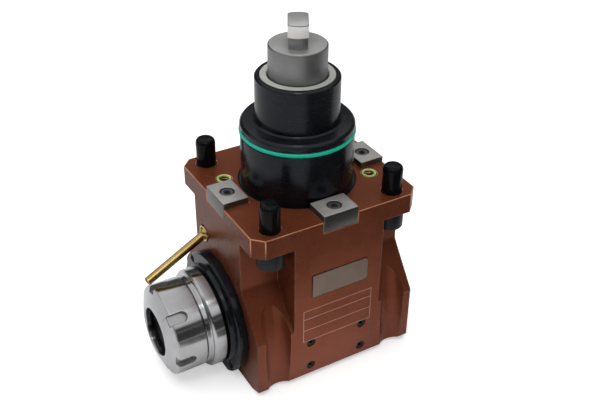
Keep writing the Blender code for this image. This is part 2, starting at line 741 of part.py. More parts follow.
def clamp_nut(finish):
    """The clamping nut, with its wrench slots, and the sliding ring inside its mouth."""
    profile = [
        (NUT_BORE_R, NUT_REAR), (NUT_R - 0.8, NUT_REAR), (NUT_R, NUT_REAR + 0.8), (NUT_R, NUT_CONE),
        (NUT_R - 0.5, NUT_CONE + 0.4), (NUT_MOUTH_R + 4.0, NUT_FRONT - 0.4), (NUT_MOUTH_R + 0.7, NUT_FRONT),
        (NUT_MOUTH_R, NUT_FRONT - 0.7), (NUT_MOUTH_R, NUT_LIP), (NUT_POCKET_R, NUT_LIP),
        (NUT_POCKET_R, NUT_POCKET), (NUT_BORE_R, NUT_POCKET),
    ]
    nut = place("clamp_nut", moved(turned(profile, 36), FORWARD), finish, SPINDLE_AT)
    slots = []
    stand = Matrix(((0, 0, 1, 0), (1, 0, 0, 0), (0, 1, 0, 0), (0, 0, 0, 1)))
    outline = stadium(NUT_SLOT_W, NUT_SLOT_REAR, NUT_FRONT + PAST)
    for k in range(NUT_SLOTS):
        turn = Matrix.Rotation(radians(NUT_SLOT_TURN + 360 * k / NUT_SLOTS), 4, "Z")
        slots.append(prism(outline, NUT_SLOT_FLOOR, NUT_R + PAST, FORWARD @ turn @ stand))
    boolean(nut, joined(slots), "cut_nut_slots", at=SPINDLE_AT)
    back = NUT_POCKET + GAP
    front = NUT_LIP - GAP
    rim = NUT_POCKET_R - GAP
    seat = [(NUT_MOUTH_R + 1.9, back), (rim, back), (rim, front), (NUT_MOUTH_R + GAP, front)]
    place("nut_friction_ring", moved(turned(seat), FORWARD), finish, SPINDLE_AT)


def bearing_cover(black, beige, dark):
    inner = SEAL_POCKET_R
    mouth = HUB_R + 0.6
    spigot_r = FRONT_BEARING_R
    profile = [
        (inner, COVER_SPIGOT), (spigot_r, COVER_SPIGOT), (spigot_r, FACE + GAP), (COVER_R, FACE + GAP),
        (COVER_R, COVER_FRONT - 1.0), (COVER_R - 1.0, COVER_FRONT), (COVER_LIP_R, COVER_FRONT),
        (COVER_LIP_R - 0.8, COVER_LIP_FRONT), (mouth, COVER_LIP_FRONT), (mouth, SEAL_POCKET_FRONT),
        (inner, SEAL_POCKET_FRONT),
    ]
    cover = place("bearing_cover", moved(turned(profile), FORWARD), black, SPINDLE_AT)
    wide = (-COVER_R - PAST, COVER_R + PAST)
    long = (-COVER_FRONT - PAST, PAST - FACE)
    boolean(cover, block(wide, long, (SPINDLE_Z - COVER_R - PAST, COVER_FLAT_Z)), "cut_cover_flat")
    places = diagonal_places(COVER_SCREW_R)
    boolean(cover, screw_seats(places, COVER_FRONT, 1), "cut_cover_screw_holes")
    screws("cover_screw", places, COVER_FRONT - SMALL_SINK, dark)
    low = COVER_SPIGOT + 2.6
    high = SEAL_POCKET_FRONT - 0.4
    place("spindle_seal", moved(ring(HUB_R + GAP, inner - GAP, low, high), FORWARD), beige, SPINDLE_AT)


def screw_seats(places, face, way):
    """Stepped holes for small socket screws, from a face that looks forward (1) or backward (-1)."""
    seat = face - SMALL_SINK - FIT
    steps = [(SMALL_SCREW_R + GAP, FACE - 4.0, seat), (SMALL_HEAD_R + 0.4, seat, face + PAST)]
    if way < 0:
        steps = [(radius, -end, -start) for radius, start, end in reversed(steps)]
    return drilled_forward(places, steps)


def screws(name, places, seat, dark):
    """Four small socket screws whose heads face forward, or backward for a negative seat."""
    for number, (x, z) in enumerate(places, 1):
        bm = socket_screw(SMALL_HEAD_R, SMALL_HEAD_H, SMALL_SCREW_R, SMALL_SCREW_L, 2.5, 1.4)
        turn = FORWARD if seat > 0 else BACKWARD
        place(f"{name}_{number}", shifted(moved(bm, turn), 0, -seat, 0), dark, (x, 0, z))


def rear_cover(black, dark):
    profile = [
        (0, REAR_SPIGOT), (REAR_SPIGOT_R, REAR_SPIGOT), (REAR_SPIGOT_R, FACE + GAP), (REAR_PLATE_R, FACE + GAP),
        (REAR_PLATE_R, REAR_PLATE_BACK - 0.8), (REAR_PLATE_R - 0.8, REAR_PLATE_BACK), (0, REAR_PLATE_BACK),
    ]
    cover = place("rear_cover", moved(turned(profile), BACKWARD), black, SPINDLE_AT)
    places = diagonal_places(REAR_SCREW_R)
    boolean(cover, screw_seats(places, REAR_PLATE_BACK, -1), "cut_rear_screw_holes_in_cover")
    screws("rear_cover_screw", places, SMALL_SINK - REAR_PLATE_BACK, dark)
    high = -REAR_BEARING_BACK - 0.4
    lock = ring(REAR_BEARING_BORE_R, LOCK_NUT_R, high - LOCK_NUT_W, high, 24)
    place("spindle_lock_nut", moved(lock, FORWARD), dark, SPINDLE_AT)


def keys(finish, dark):
    low = FLANGE_TOP + KEY_RISE - KEY_H
    top = FLANGE_TOP + KEY_RISE
    hole = KEY_SCREW_R + GAP
    recess = KEY_SCREW_HEAD_R + 0.6
    under = top - KEY_SCREW_HEAD_H - 0.6
    floor = under - GAP
    below = low - PAST
    above = top + PAST
    seat = [(0, below), (hole, below), (hole, floor), (recess, floor), (recess, above), (0, above)]
    for side, ((x, y), turn) in key_places().items():
        bm = block((-KEY_L / 2, KEY_L / 2), (-KEY_W / 2, KEY_W / 2), (low, top))
        rim = [e for e in bm.edges if all(v.co.z > (top - 1) * MM for v in e.verts)]
        bmesh.ops.bevel(bm, geom=rim, offset=0.5 * MM, segments=1, profile=0.5, affect="EDGES", material=-1)
        key = place(f"locating_key_{side}", bm, finish, (x, y, 0), turn)
        boolean(key, turned(seat, 12), f"cut_key_{side}", at=(x, y, 0))
        screw = socket_screw(KEY_SCREW_HEAD_R, KEY_SCREW_HEAD_H, KEY_SCREW_R, 18.0, 4.0, 2.4)
        place(f"key_screw_{side}", screw, dark, (x, y, under))


def mounting_screws(slate, vinyl):
    under = FLANGE_TOP - FLANGE_T - GAP
    length = FLANGE_T + GAP + SCREW_RISE
    cap = [
        (0, CAP_TOP), (CAP_R - 1.55, CAP_TOP), (CAP_R - 0.45, CAP_TOP - 0.6), (CAP_R, CAP_TOP - 1.9),
        (CAP_R, GAP),
        (CAP_BORE_R, GAP), (CAP_BORE_R, CAP_TOP - 1.1), (0, CAP_TOP - 1.1),
    ]
    for number, (sx, sy) in enumerate(quadrants(), 1):
        bm = socket_screw(SCREW_HEAD_R, SCREW_HEAD_H, SCREW_R, length, 10.0, 6.0, 1.0)
        bm.transform(Matrix.Rotation(pi, 4, "X"))
        place(f"mounting_screw_{number}", bm, slate, (sx * SCREW_X, sy * SCREW_Y, under))
        spot = (sx * SCREW_X, sy * SCREW_Y, FLANGE_TOP)
        place(f"thread_cap_{number}", turned(cap, 14), vinyl, spot)


def coolant_parts(brass, pale, dark):
    for name, sign in (("back", 1), ("front", -1)):
        spot = (sign * PORT_X, sign * PORT_Y, FLANGE_TOP - 0.15)
        place(f"port_seal_{name}", torus(PORT_RING_R, PORT_RING_MINOR_R, 0, 6, 16), pale, spot)
    pivot = (-PORT_X, -BALL_FORWARD, CHANNEL_Z)
    lip = BALL_R - 0.02
    hollow = BALL_R + 0.4
    rim = SOCKET_RING_R
    seat = [
        (lip, 2.1), (lip, 1.4), (hollow, 0.6), (hollow, -3.0), (CHANNEL_R + 0.5, -4.6), (CHANNEL_R + 0.5, -7.3),
        (rim, -7.3), (rim, 1.8), (rim - 0.3, 2.1),
    ]
    place("nozzle_seat", moved(turned(seat, 18), FORWARD), brass, pivot)
    reach = Vector(NOZZLE_REACH)
    aim = reach.to_track_quat("Z", "Y").to_matrix().to_4x4()
    neck = asin(NOZZLE_R / BALL_R)
    angles = [k * (pi - neck) / 6 for k in range(6)]
    tube = [(BALL_R * sin(a), -BALL_R * cos(a)) for a in angles]
    tube += [
        (NOZZLE_R, BALL_R * cos(neck)), (NOZZLE_R, reach.length - 0.3), (NOZZLE_R - 0.3, reach.length),
        (NOZZLE_BORE_R, reach.length), (NOZZLE_BORE_R, 6.0), (0, 6.0),
    ]
    place("nozzle_tube", moved(turned(tube, 16), aim), brass, pivot)
    plug = moved(grub_screw(PLUG_R, PLUG_L, 5.0, 3.5), BACKWARD)
    place("channel_plug", plug, dark, (PORT_X, FACE - 0.8, CHANNEL_Z))


def plates(plain, dark):
    bm = block((EDGE - 0.2, EDGE + 0.5), PLATE_Y, PLATE_Z)
    corners = [e for e in bm.edges if abs(e.verts[0].co.x - e.verts[1].co.x) > 1e-5 and e.verts[0].co.y > 0]
    bmesh.ops.bevel(bm, geom=corners, offset=3 * MM, segments=4, profile=0.5, affect="EDGES", material=-1)
    place("blank_plate", bm, plain)
    for number, (y, z) in enumerate(side_plug_places(), 1):
        bm = moved(grub_screw(SIDE_PLUG_R, SIDE_PLUG_L, 2.5, 2.2), Matrix.Rotation(radians(90), 4, "Y"))
        place(f"side_plug_{number}", bm, dark, (EDGE - 1.0, y, z))


def main():
    clear_scene()
    coated = material("brown_coated_steel", (0.16, 0.062, 0.036), 0.38, 0.55)
    black = material("black_nitrided_steel", (0.012, 0.012, 0.014), 0.22, 0.8)
    bright = material("polished_steel", (0.72, 0.71, 0.69), 0.2, 1.0)
    ground = material("ground_steel", (0.33, 0.31, 0.3), 0.38, 1.0)
    bearing_steel = material("bearing_steel", (0.6, 0.6, 0.62), 0.25, 1.0)
    gear_steel = material("gear_steel", (0.3, 0.29, 0.28), 0.35, 1.0)
    slate = material("slate_screw_steel", (0.03, 0.035, 0.04), 0.45, 0.7)
    vinyl = material("black_vinyl", (0.008, 0.008, 0.009), 0.3, 0.0)
    brass = material("brass", (0.55, 0.36, 0.1), 0.28, 1.0)
    green = material("turquoise_rubber", (0.0, 0.36, 0.24), 0.45, 0.0)
    pale = material("pale_green_rubber", (0.3, 0.5, 0.16), 0.5, 0.0)
    beige = material("beige_seal_rubber", (0.45, 0.4, 0.33), 0.6, 0.0)
    plate = material("grey_plate", (0.4, 0.37, 0.32), 0.45, 0.5)
    t = FLANGE_TOP
    housing(coated)
    shank(black, green, beige)
    drive_shaft(ground)
    steel = (bearing_steel, bearing_steel)
    bearing("upper_bearing", UPPER_BEARING, t + UPPER_BEARING_LOW, *steel)
    bearing("lower_bearing", LOWER_BEARING, t + LOWER_BEARING_LOW, *steel)
    bearing("front_bearing", FRONT_BEARING, BEARING_BACK, *steel, SPINDLE_AT, FORWARD)
    bearing("rear_bearing", REAR_BEARING, -REAR_BEARING_BACK, *steel, SPINDLE_AT, FORWARD)
    step = 2 * pi / TEETH
    bevel_gear("drive_gear", gear_steel, Matrix.Identity(4), -pi / 2)
    bevel_gear("spindle_gear", gear_steel, FORWARD, pi / 2 + step / 2)
    spindle(bright)
    clamp_nut(bright)
    bearing_cover(black, beige, slate)
    rear_cover(black, slate)
    keys(ground, slate)
    mounting_screws(slate, vinyl)
    coolant_parts(brass, pale, slate)
    plates(plate, slate)


main()
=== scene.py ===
"""The driven tool holder, dressed for its photograph: finishes, fine forms, lights and camera. Sizes are
millimetres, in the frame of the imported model: the shank axis is Z and the spindle points along -Y."""

from math import asin, cos, hypot, pi, radians, sin, tan

import bmesh
import bpy
from mathutils import Euler, Matrix, Vector

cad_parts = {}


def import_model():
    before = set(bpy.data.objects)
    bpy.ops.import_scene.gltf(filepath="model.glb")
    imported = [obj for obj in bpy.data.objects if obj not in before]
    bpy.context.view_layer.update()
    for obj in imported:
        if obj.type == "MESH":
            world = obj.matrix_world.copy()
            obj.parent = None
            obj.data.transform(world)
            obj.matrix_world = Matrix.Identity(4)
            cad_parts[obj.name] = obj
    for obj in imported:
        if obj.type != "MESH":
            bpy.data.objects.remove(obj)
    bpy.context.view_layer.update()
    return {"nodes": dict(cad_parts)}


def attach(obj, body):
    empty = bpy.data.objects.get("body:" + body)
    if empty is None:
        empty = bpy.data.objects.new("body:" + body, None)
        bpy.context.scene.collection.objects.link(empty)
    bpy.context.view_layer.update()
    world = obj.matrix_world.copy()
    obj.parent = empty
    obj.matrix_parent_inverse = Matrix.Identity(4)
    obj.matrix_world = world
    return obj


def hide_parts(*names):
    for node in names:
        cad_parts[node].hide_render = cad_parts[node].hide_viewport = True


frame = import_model()

# Shared values: MM and MERGE are metres, FIT is the usual gap, OVER is a cutter's reach past a face

MM = 0.001
MERGE = 1e-6
FIT = 0.3
CHAMFER = 0.8
OVER = 4.0
QUADRANTS = [(1, -1), (1, 1), (-1, 1), (-1, -1)]

# Material slots of a piece after its first

SECOND = 1
THIRD = 2

# Steps of a full turn, from the large round pieces to the small ones

FINE = 128
BORE_STEPS = 96
CROSS_STEPS = 72
MEDIUM = 64
SMALL = 48
COARSE = 32

# Sizes of the housing

HALF_X = 56.0
HALF_Y = 61.0
FLANGE_TOP = 127.5
FLANGE_T = 14.3
FLANGE_FOOT = FLANGE_TOP - FLANGE_T
FLANGE_CORNER = 7.0
POCKET_X = 33.5
POCKET_Y = 33.6
POCKET_ROUND = 1.6
SLOPE_TOP = 76.0
SLOPE_FOOT = 45.5
STRIP_W = 10.0
STRIP_RISE = 0.38
GROOVE_R = 9.3
GROOVE_LEAN = 9.2
GROOVE_PIVOT_Z = 101.5
GROOVE_SPAN = (-130.0, -14.0)
RELIEF_R = 39.2
RELIEF_FLOOR = 126.5
SLEEVE_SEAT_R = 31.25
SLEEVE_SEAT_FLOOR = 88.2
GEAR_ROOM_R = 26.8
GEAR_ROOM_FLOOR = 40.0
FRONT_BORE_R = 28.8
FRONT_BORE_FLOOR = 39.6
CROSS_ROOM_R = 26.5
CROSS_ROOM_BACK = -30.0
WEB_R = 17.0
WEB_BACK = -40.6
REAR_BORE_R = 20.2
REAR_BORE_END = -54.5
REAR_MOUTH_R = 24.0

# Sizes of the spindle, the nut and the covers, whose ends are measured from the shank axis

SPINDLE_Z = 37.0
REAR_END = -57.8
REAR_JOURNAL_R = 9.9
REAR_JOURNAL_END = -40.2
STEM_R = 11.5
STEM_END = 14.4
GEAR_SEAT_R = 12.0
GEAR_SEAT_END = 37.3
FRONT_JOURNAL_R = 17.3
FRONT_JOURNAL_END = 60.4
SEAL_LAND_R = 22.0
SEAL_LAND_END = 72.0
SHOULDER_R = 34.5
SHOULDER_END = 81.0
COLLAR_R = 31.0
COLLAR_END = 84.5
NOSE_R = 24.8
NOSE_END = 103.0
SOCKET_R = 20.3
SOCKET_DEPTH = 40.0
SOCKET_SLOPE = 8.0
SOCKET_SHADE_FROM = 55.0
WELL_R = 6.0
WELL_FLOOR = 51.0
NUT_R = 31.5
NUT_BACK = 84.9
NUT_SHOULDER = 105.5
NUT_FRONT = 110.0
NUT_FACE_R = 19.6
NUT_MOUTH_R = 17.0
NUT_MOUTH_FLOOR = 107.2
NUT_BORE_R = 25.2
NUT_RING_R = 22.6
NUT_RING_FLOOR = 103.7
SLOTS = 6
SLOT_HALF = 3.5
SLOT_ROUND = 97.5
SLOT_FLOOR_R = 27.8
SLOT_TURN = -11.0
COVER_BACK = HALF_Y + FIT
COVER_R = 43.3
COVER_FACE = 67.7
COVER_RIM_R = 35.6
COVER_RIM = 70.4
COVER_SPIGOT_R = 28.5
COVER_SPIGOT = 59.0
COVER_BORE_R = 22.6
COVER_FLAT_Z = 0.5
COVER_SCREW_R = 39.8
COVER_SCREW_SEAT = 64.5
SEAL_SEAT_R = 26.6
SEAL_STOP = 68.6
REAR_R = 30.0
REAR_FACE = 65.2
REAR_SPIGOT_R = 23.7
REAR_SPIGOT = 58.9
REAR_DISH_R = 12.0
REAR_SCREW_R = 27.2
REAR_SCREW_SEAT = 62.2

# Sizes of the shank and the drive shaft

SLEEVE_R = 31.0
SLEEVE_FOOT = FLANGE_TOP - 39.0
SHANK_R = 37.5
SHANK_FOOT = FLANGE_TOP - 0.7
SHANK_STEP = FLANGE_TOP + 44.4
NECK_R = 27.5
NECK_TOP = FLANGE_TOP + 75.7
SEAL_BORE_R = 24.4
SEAL_FLOOR = FLANGE_TOP + 69.5
LIP_R = 19.5
LIP_FOOT = FLANGE_TOP + 66.0
BEARING_BORE_R = 23.8
BEARING_BORE_FOOT = FLANGE_TOP - 24.5
SLEEVE_MOUTH_R = 27.8
RING_GROOVE_R = 34.9
RING_GROOVE = (FLANGE_TOP + 35.4, FLANGE_TOP + 39.2)
RING_R = 36.7
RING_SECTION_R = 1.5
SHAFT_FOOT = 51.5
SHAFT_GEAR_R = 12.0
SHAFT_GEAR_TOP = 74.3
SHAFT_JOURNAL_R = 14.8
SHAFT_BODY_R = 18.0
SHAFT_BODY = (FLANGE_TOP - 25.0, FLANGE_TOP + 56.0)
HEAD_R = 18.9
HEAD_FOOT = FLANGE_TOP + 66.2
HEAD_TOP = FLANGE_TOP + 96.3
TANG_FOOT = FLANGE_TOP + 103.0
TANG_TOP = FLANGE_TOP + 111.8
TANG_HALF = 6.5
TANG_R = 11.8
TANG_NECK_HALF = 6.0
TANG_NECK_R = 11.3
TANG_TURN = -29.5

# Sizes of the keys, screws, caps and plugs

KEY_HALF = 9.0
KEY_X = (-KEY_HALF, KEY_HALF)
KEY_Y = (-12.6, 12.6)
KEY_Z = (119.3, 131.7)
KEY_SEAT_X = (-9.1, 12.0)
KEY_SEAT_Y = (-12.75, 12.75)
KEY_SEAT_FLOOR = 119.0
KEY_HOLE_R = 2.8
KEY_HEAD_HOLE_R = 4.9
KEY_HEAD_DEPTH = 5.6
KEY_PLACES = {
    "right": (HALF_X - KEY_HALF, 0, 0), "back": (0, HALF_Y - KEY_HALF, 90),
    "left": (KEY_HALF - HALF_X, 0, 180), "front": (0, KEY_HALF - HALF_Y, 270),
}
SCREW_X = 45.5
SCREW_Y = 45.4
SCREW_HOLE_R = 7.0
SMALL_HOLE_R = 1.8
SMALL_HEAD_HOLE_R = 3.1
SMALL_SCREW_LIFT = 0.2
SMALL_SCREW = dict(radius=2.7, height=2.6, shank_r=1.5, length=10.0, across=2.5, depth=1.4, edge=0.25)
KEY_SCREW = dict(radius=4.3, height=4.7, shank_r=2.5, length=18.0, across=4.0, depth=2.4)
MOUNTING_SCREW = dict(radius=9.0, height=12.0, shank_r=6.0, length=32.6, across=10.0, depth=6.0, edge=0.8)
SIDE_GRUB = dict(radius=2.9, length=6.5, across=2.5, depth=2.2)
CHANNEL_GRUB = dict(radius=4.7, length=7.5, across=5.0, depth=3.5)
SIDE_PLUGS = [(y, z) for z in (10.9, 31.3) for y in (-20.2, 20.2)]
SIDE_HOLE_R = 3.2
SIDE_HOLE_FLOOR = 47.0
SIDE_GRUB_SUNK = 1.0
CHANNEL_GRUB_SUNK = 0.8
CAP_R = 6.75
CAP_WAIST_R = 6.6
CAP_BORE_R = 6.15
CAP_FOOT = 0.3
CAP_TOP = 19.5
CAP_CEILING = 18.4

# Sizes of the coolant ports, the nozzle, the plate and the lines

PORT_X = 20.7
PORT_Y = 44.2
PORT_FOOT = 87.6
PORT_R = 3.0
PORT_MOUTH_R = 5.4
PORT_MOUTH_FLOOR = 126.1
PORT_RING_R = 4.2
PORT_RING_SECTION_R = 0.85
PORT_RING_SUNK = 0.15
CHANNEL_Z = 88.9
CHANNEL_R = 2.5
CHANNEL_START = 43.0
CHANNEL_MOUTH_FLOOR = 52.0
NOZZLE_MOUTH_R = 6.2
PLUG_MOUTH_R = 5.0
NOZZLE_TIP = (-11.3, -108.0, 71.4)
NOZZLE_SEAT_R = 5.9
NOZZLE_SEAT_BORE_R = 3.0
NOZZLE_SEAT_BACK = -7.3
NOZZLE_SEAT_FRONT = 2.1
BALL_LIP_R = 4.38
BALL_ROOM_R = 4.8
BALL_FORWARD = 59.6
BALL_R = 4.4
BALL_STEPS = 24
PIPE_R = 2.9
PIPE_BORE_R = 2.0
PIPE_BORE_FLOOR = 6.0
PLATE_X = (HALF_X - 0.2, HALF_X + 0.5)
PLATE_Y = (-20.3, 22.0)
PLATE_Z = (70.8, 88.2)
PLATE_ROUND = 3.0
PLATE_SEAT_DEPTH = 0.5
PLATE_SEAT_GAP = 0.2
TABLE_Y = (-26.5, 26.5)
TABLE_ROWS = (60.4, 53.4, 43.9, 34.2)
LINE_W = 0.35
LINE_SUNK = 0.1
ROW_RISE = 0.03
SIDE_RISE = 0.025


# Shader groups

def socket(group, name, way, kind="NodeSocketFloat", value=None):
    made = group.interface.new_socket(name=name, in_out=way, socket_type=kind)
    if value is not None:
        made.default_value = value
    return made


def node(tree, kind, **settings):
    made = tree.nodes.new(kind)
    for name, value in settings.items():
        setattr(made, name, value)
    return made


def feed(tree, value, target):
    """Sets an input to a plain number, or links another node's output to it."""
    if isinstance(value, (int, float)):
        target.default_value = value
    else:
        tree.links.new(value, target)


def math_node(tree, operation, a, b=None):
    made = node(tree, "ShaderNodeMath", operation=operation)
    feed(tree, a, made.inputs[0])
    if b is not None:
        feed(tree, b, made.inputs[1])
    return made.outputs[0]


def noise(tree, vector, scale, detail=3.0, roughness=0.55):
    made = node(tree, "ShaderNodeTexNoise")
    tree.links.new(vector, made.inputs["Vector"])
    feed(tree, scale, made.inputs["Scale"])
    made.inputs["Detail"].default_value = detail
    made.inputs["Roughness"].default_value = roughness
    return made.outputs["Fac"]


def spread(tree, value, low, high, to_low=0.0, to_high=1.0):
    """Maps a value smoothly from one range to another."""
    made = node(tree, "ShaderNodeMapRange", interpolation_type="SMOOTHSTEP")
    tree.links.new(value, made.inputs["Value"])
    for name, number in zip(("From Min", "From Max", "To Min", "To Max"), (low, high, to_low, to_high)):
        made.inputs[name].default_value = number
    return made.outputs["Result"]


def distance_from_axis(tree, x, y):
    squares = [math_node(tree, "MULTIPLY", side, side) for side in (x, y)]
    return math_node(tree, "SQRT", math_node(tree, "ADD", *squares))


def new_group(name, fineness, outputs):
    """A pattern's node group, with a place and a fineness for inputs, and numbers for outputs."""
    group = bpy.data.node_groups.new(name, "ShaderNodeTree")
    socket(group, "Vector", "INPUT", "NodeSocketVector")
    socket(group, "Fineness", "INPUT", value=fineness)
    for label in outputs:
        socket(group, label, "OUTPUT")
    return group, node(group, "NodeGroupInput"), node(group, "NodeGroupOutput")


def lathe_marks():
    """Fine turning rings: a pattern of height and radius that hardly changes round the Z axis."""
    group, given, made = new_group("lathe_marks", 2600.0, ("Height", "Blotch"))
    change_around = 0.02
    blotch_scale = 60.0
    parts = node(group, "ShaderNodeSeparateXYZ")
    group.links.new(given.outputs["Vector"], parts.inputs[0])
    x, y, z = parts.outputs
    rings = node(group, "ShaderNodeCombineXYZ")
    group.links.new(distance_from_axis(group, x, y), rings.inputs[0])
    group.links.new(z, rings.inputs[1])
    group.links.new(math_node(group, "MULTIPLY", x, change_around), rings.inputs[2])
    group.links.new(noise(group, rings.outputs[0], given.outputs["Fineness"], 2.0), made.inputs["Height"])
    group.links.new(noise(group, given.outputs["Vector"], blotch_scale), made.inputs["Blotch"])
    return group


def ground_grain():
    """Straight grinding scratches along the Y direction, with soft blotches."""
    group, given, made = new_group("ground_grain", 3000.0, ("Height", "Blotch"))
    change_along = 0.03
    blotch_scale = 45.0
    drawn_out = node(group, "ShaderNodeVectorMath", operation="MULTIPLY")
    group.links.new(given.outputs["Vector"], drawn_out.inputs[0])
    drawn_out.inputs[1].default_value = (1.0, change_along, 1.0)
    group.links.new(noise(group, drawn_out.outputs[0], given.outputs["Fineness"], 2.0), made.inputs["Height"])
    group.links.new(noise(group, given.outputs["Vector"], blotch_scale), made.inputs["Blotch"])
    return group


def fine_speckle():
    """The even grain of a coating or of moulded rubber, with larger cloudy patches and sparse specks."""
    group, given, made = new_group("fine_speckle", 2200.0, ("Height", "Cloud", "Speck"))
    cloud_scale = 28.0
    speck_scale = 900.0
    speck_rim = (0.66, 0.74)
    grain = noise(group, given.outputs["Vector"], given.outputs["Fineness"], 3.0, 0.6)
    group.links.new(grain, made.inputs["Height"])
    group.links.new(noise(group, given.outputs["Vector"], cloud_scale, 4.0), made.inputs["Cloud"])
    specks = noise(group, given.outputs["Vector"], speck_scale, 2.0)
    group.links.new(spread(group, specks, *speck_rim), made.inputs["Speck"])
    return group


LATHE = lathe_marks()
GRAIN = ground_grain()
SPECKLE = fine_speckle()


# Finishes

DRIFT = (0.3, 0.7)
SPECK_STRENGTH = 0.35
SPECK_LIGHTER = 1.5
QUARTER_TURN = 0.25
BUMP_DEPTH = 0.02


def placed_vector(tree, centre, turn):
    """Object coordinates about a centre, turned so that Z runs along the piece's own axis."""
    where = node(tree, "ShaderNodeTexCoord")
    mapping = node(tree, "ShaderNodeMapping", vector_type="TEXTURE")
    mapping.inputs["Location"].default_value = Vector(centre) * MM
    mapping.inputs["Rotation"].default_value = [radians(a) for a in turn]
    tree.links.new(where.outputs["Object"], mapping.inputs["Vector"])
    return mapping.outputs["Vector"]


def blend(tree, amount, first, second, kind="MIX"):
    """Mixes a second colour into a first one. Each is a colour's numbers or another node's output."""
    made = node(tree, "ShaderNodeMix", data_type="RGBA", blend_type=kind)
    tree.links.new(amount, made.inputs["Factor"])
    for name, colour in (("A", first), ("B", second)):
        if isinstance(colour, (tuple, list)):
            made.inputs[name].default_value = (*colour, 1.0)
        else:
            tree.links.new(colour, made.inputs[name])
    return made.outputs["Result"]


def tinted(tree, shade, value, low, high, tint):
    """Multiplies a colour by the tint where the value is low, and leaves it alone where it is high."""
    return blend(tree, spread(tree, value, low * MM, high * MM, 1.0, 0.0), shade, tint, "MULTIPLY")


def groove_direction(tree, centre, turn):
    """The direction round the turning axis, along which the grooves of a lathe run."""
    where = node(tree, "ShaderNodeTexCoord")
    arm = node(tree, "ShaderNodeVectorMath", operation="SUBTRACT")
    tree.links.new(where.outputs["Object"], arm.inputs[0])
    arm.inputs[1].default_value = Vector(centre) * MM
    around = node(tree, "ShaderNodeVectorMath", operation="CROSS_PRODUCT")
    around.inputs[0].default_value = Euler([radians(a) for a in turn]).to_matrix() @ Vector((0, 0, 1))
    tree.links.new(arm.outputs["Vector"], around.inputs[1])
    posed = node(
        tree, "ShaderNodeVectorTransform", vector_type="VECTOR", convert_from="OBJECT", convert_to="WORLD"
    )
    tree.links.new(around.outputs["Vector"], posed.inputs[0])
    return posed.outputs[0]


def finish(
    name, group, light, dark, rough, metallic, bump=0.1, fineness=None, centre=(0, 0, 0), turn=(0, 0, 0),
    foot=None, core=None, stretch=0.0, **fixed
):
    """A material whose colour and roughness drift between two values with the group's pattern.

    A foot (low, high, tint) tints the colour by height, and a core does so by the distance from the Z axis;
    here both paint light and shade.
    A stretch draws reflections out across a lathe's grooves. What is fixed goes to the shader as it is."""
    made = bpy.data.materials.new(name)
    made.use_nodes = True
    tree = made.node_tree
    shader = tree.nodes["Principled BSDF"]
    pattern = node(tree, "ShaderNodeGroup")
    pattern.node_tree = group
    local = placed_vector(tree, centre, turn)
    tree.links.new(local, pattern.inputs["Vector"])
    if fineness:
        pattern.inputs["Fineness"].default_value = fineness
    broad = pattern.outputs[1]
    shade = blend(tree, spread(tree, broad, *DRIFT), dark, light)
    if group is SPECKLE:
        brighter = [min(1.0, c * SPECK_LIGHTER) for c in light]
        specks = math_node(tree, "MULTIPLY", pattern.outputs["Speck"], SPECK_STRENGTH)
        shade = blend(tree, specks, shade, brighter)
    if foot or core:
        parts = node(tree, "ShaderNodeSeparateXYZ")
        tree.links.new(local, parts.inputs[0])
        x, y, z = parts.outputs
        if foot:
            shade = tinted(tree, shade, z, *foot)
        if core:
            shade = tinted(tree, shade, distance_from_axis(tree, x, y), *core)
    tree.links.new(shade, shader.inputs["Base Color"])
    halves = [math_node(tree, "MULTIPLY", value, 0.5) for value in (broad, pattern.outputs["Height"])]
    mixed = math_node(tree, "ADD", *halves)
    tree.links.new(spread(tree, mixed, *DRIFT, *rough), shader.inputs["Roughness"])
    shader.inputs["Metallic"].default_value = metallic
    if stretch:
        shader.inputs["Anisotropic"].default_value = stretch
        shader.inputs["Anisotropic Rotation"].default_value = QUARTER_TURN
        tree.links.new(groove_direction(tree, centre, turn), shader.inputs["Tangent"])
    for label, value in fixed.items():
        shader.inputs[label.replace("_", " ")].default_value = value
    relief = node(tree, "ShaderNodeBump")
    relief.inputs["Strength"].default_value = bump
    relief.inputs["Distance"].default_value = BUMP_DEPTH * MM
    tree.links.new(pattern.outputs["Height"], relief.inputs["Height"])
    tree.links.new(relief.outputs["Normal"], shader.inputs["Normal"])
    return made


# The finishes give the light and the dark colour, the roughness range, the metallic value and the bump

SPUN = dict(centre=(0, 0, SPINDLE_Z), turn=(90, 0, 0))
NITRIDED = ((0.009, 0.0095, 0.012), (0.005, 0.005, 0.007))

# The brown's foot paints it paler and bluer towards the bottom: a painted sheen of the floor's light.
BROWN = finish(
    "brown_coated_steel", SPECKLE, (0.155, 0.0415, 0.018), (0.13, 0.034, 0.0147), (0.24, 0.36), 0.3, 0.12,
    foot=(0, 55, (1.35, 1.6, 2.3)), Specular_IOR_Level=0.11,
)
# The bevels' colour is partly wear and partly a painted highlight. Its foot darkens the edges below the
# flange top, and its core paints near-black shade on the edges round the shank's relief.
RUBBED_AND_HIGHLIT = finish(
    "brown_coating_rubbed_and_painted_highlight_edge", SPECKLE, (0.85, 0.42, 0.24), (0.5, 0.2, 0.1), (0.22, 0.34), 0.65, 0.08,
    foot=(112, 126, (0.25, 0.2, 0.18)), core=(40.2, 40.8, (0.05, 0.05, 0.05)),
)
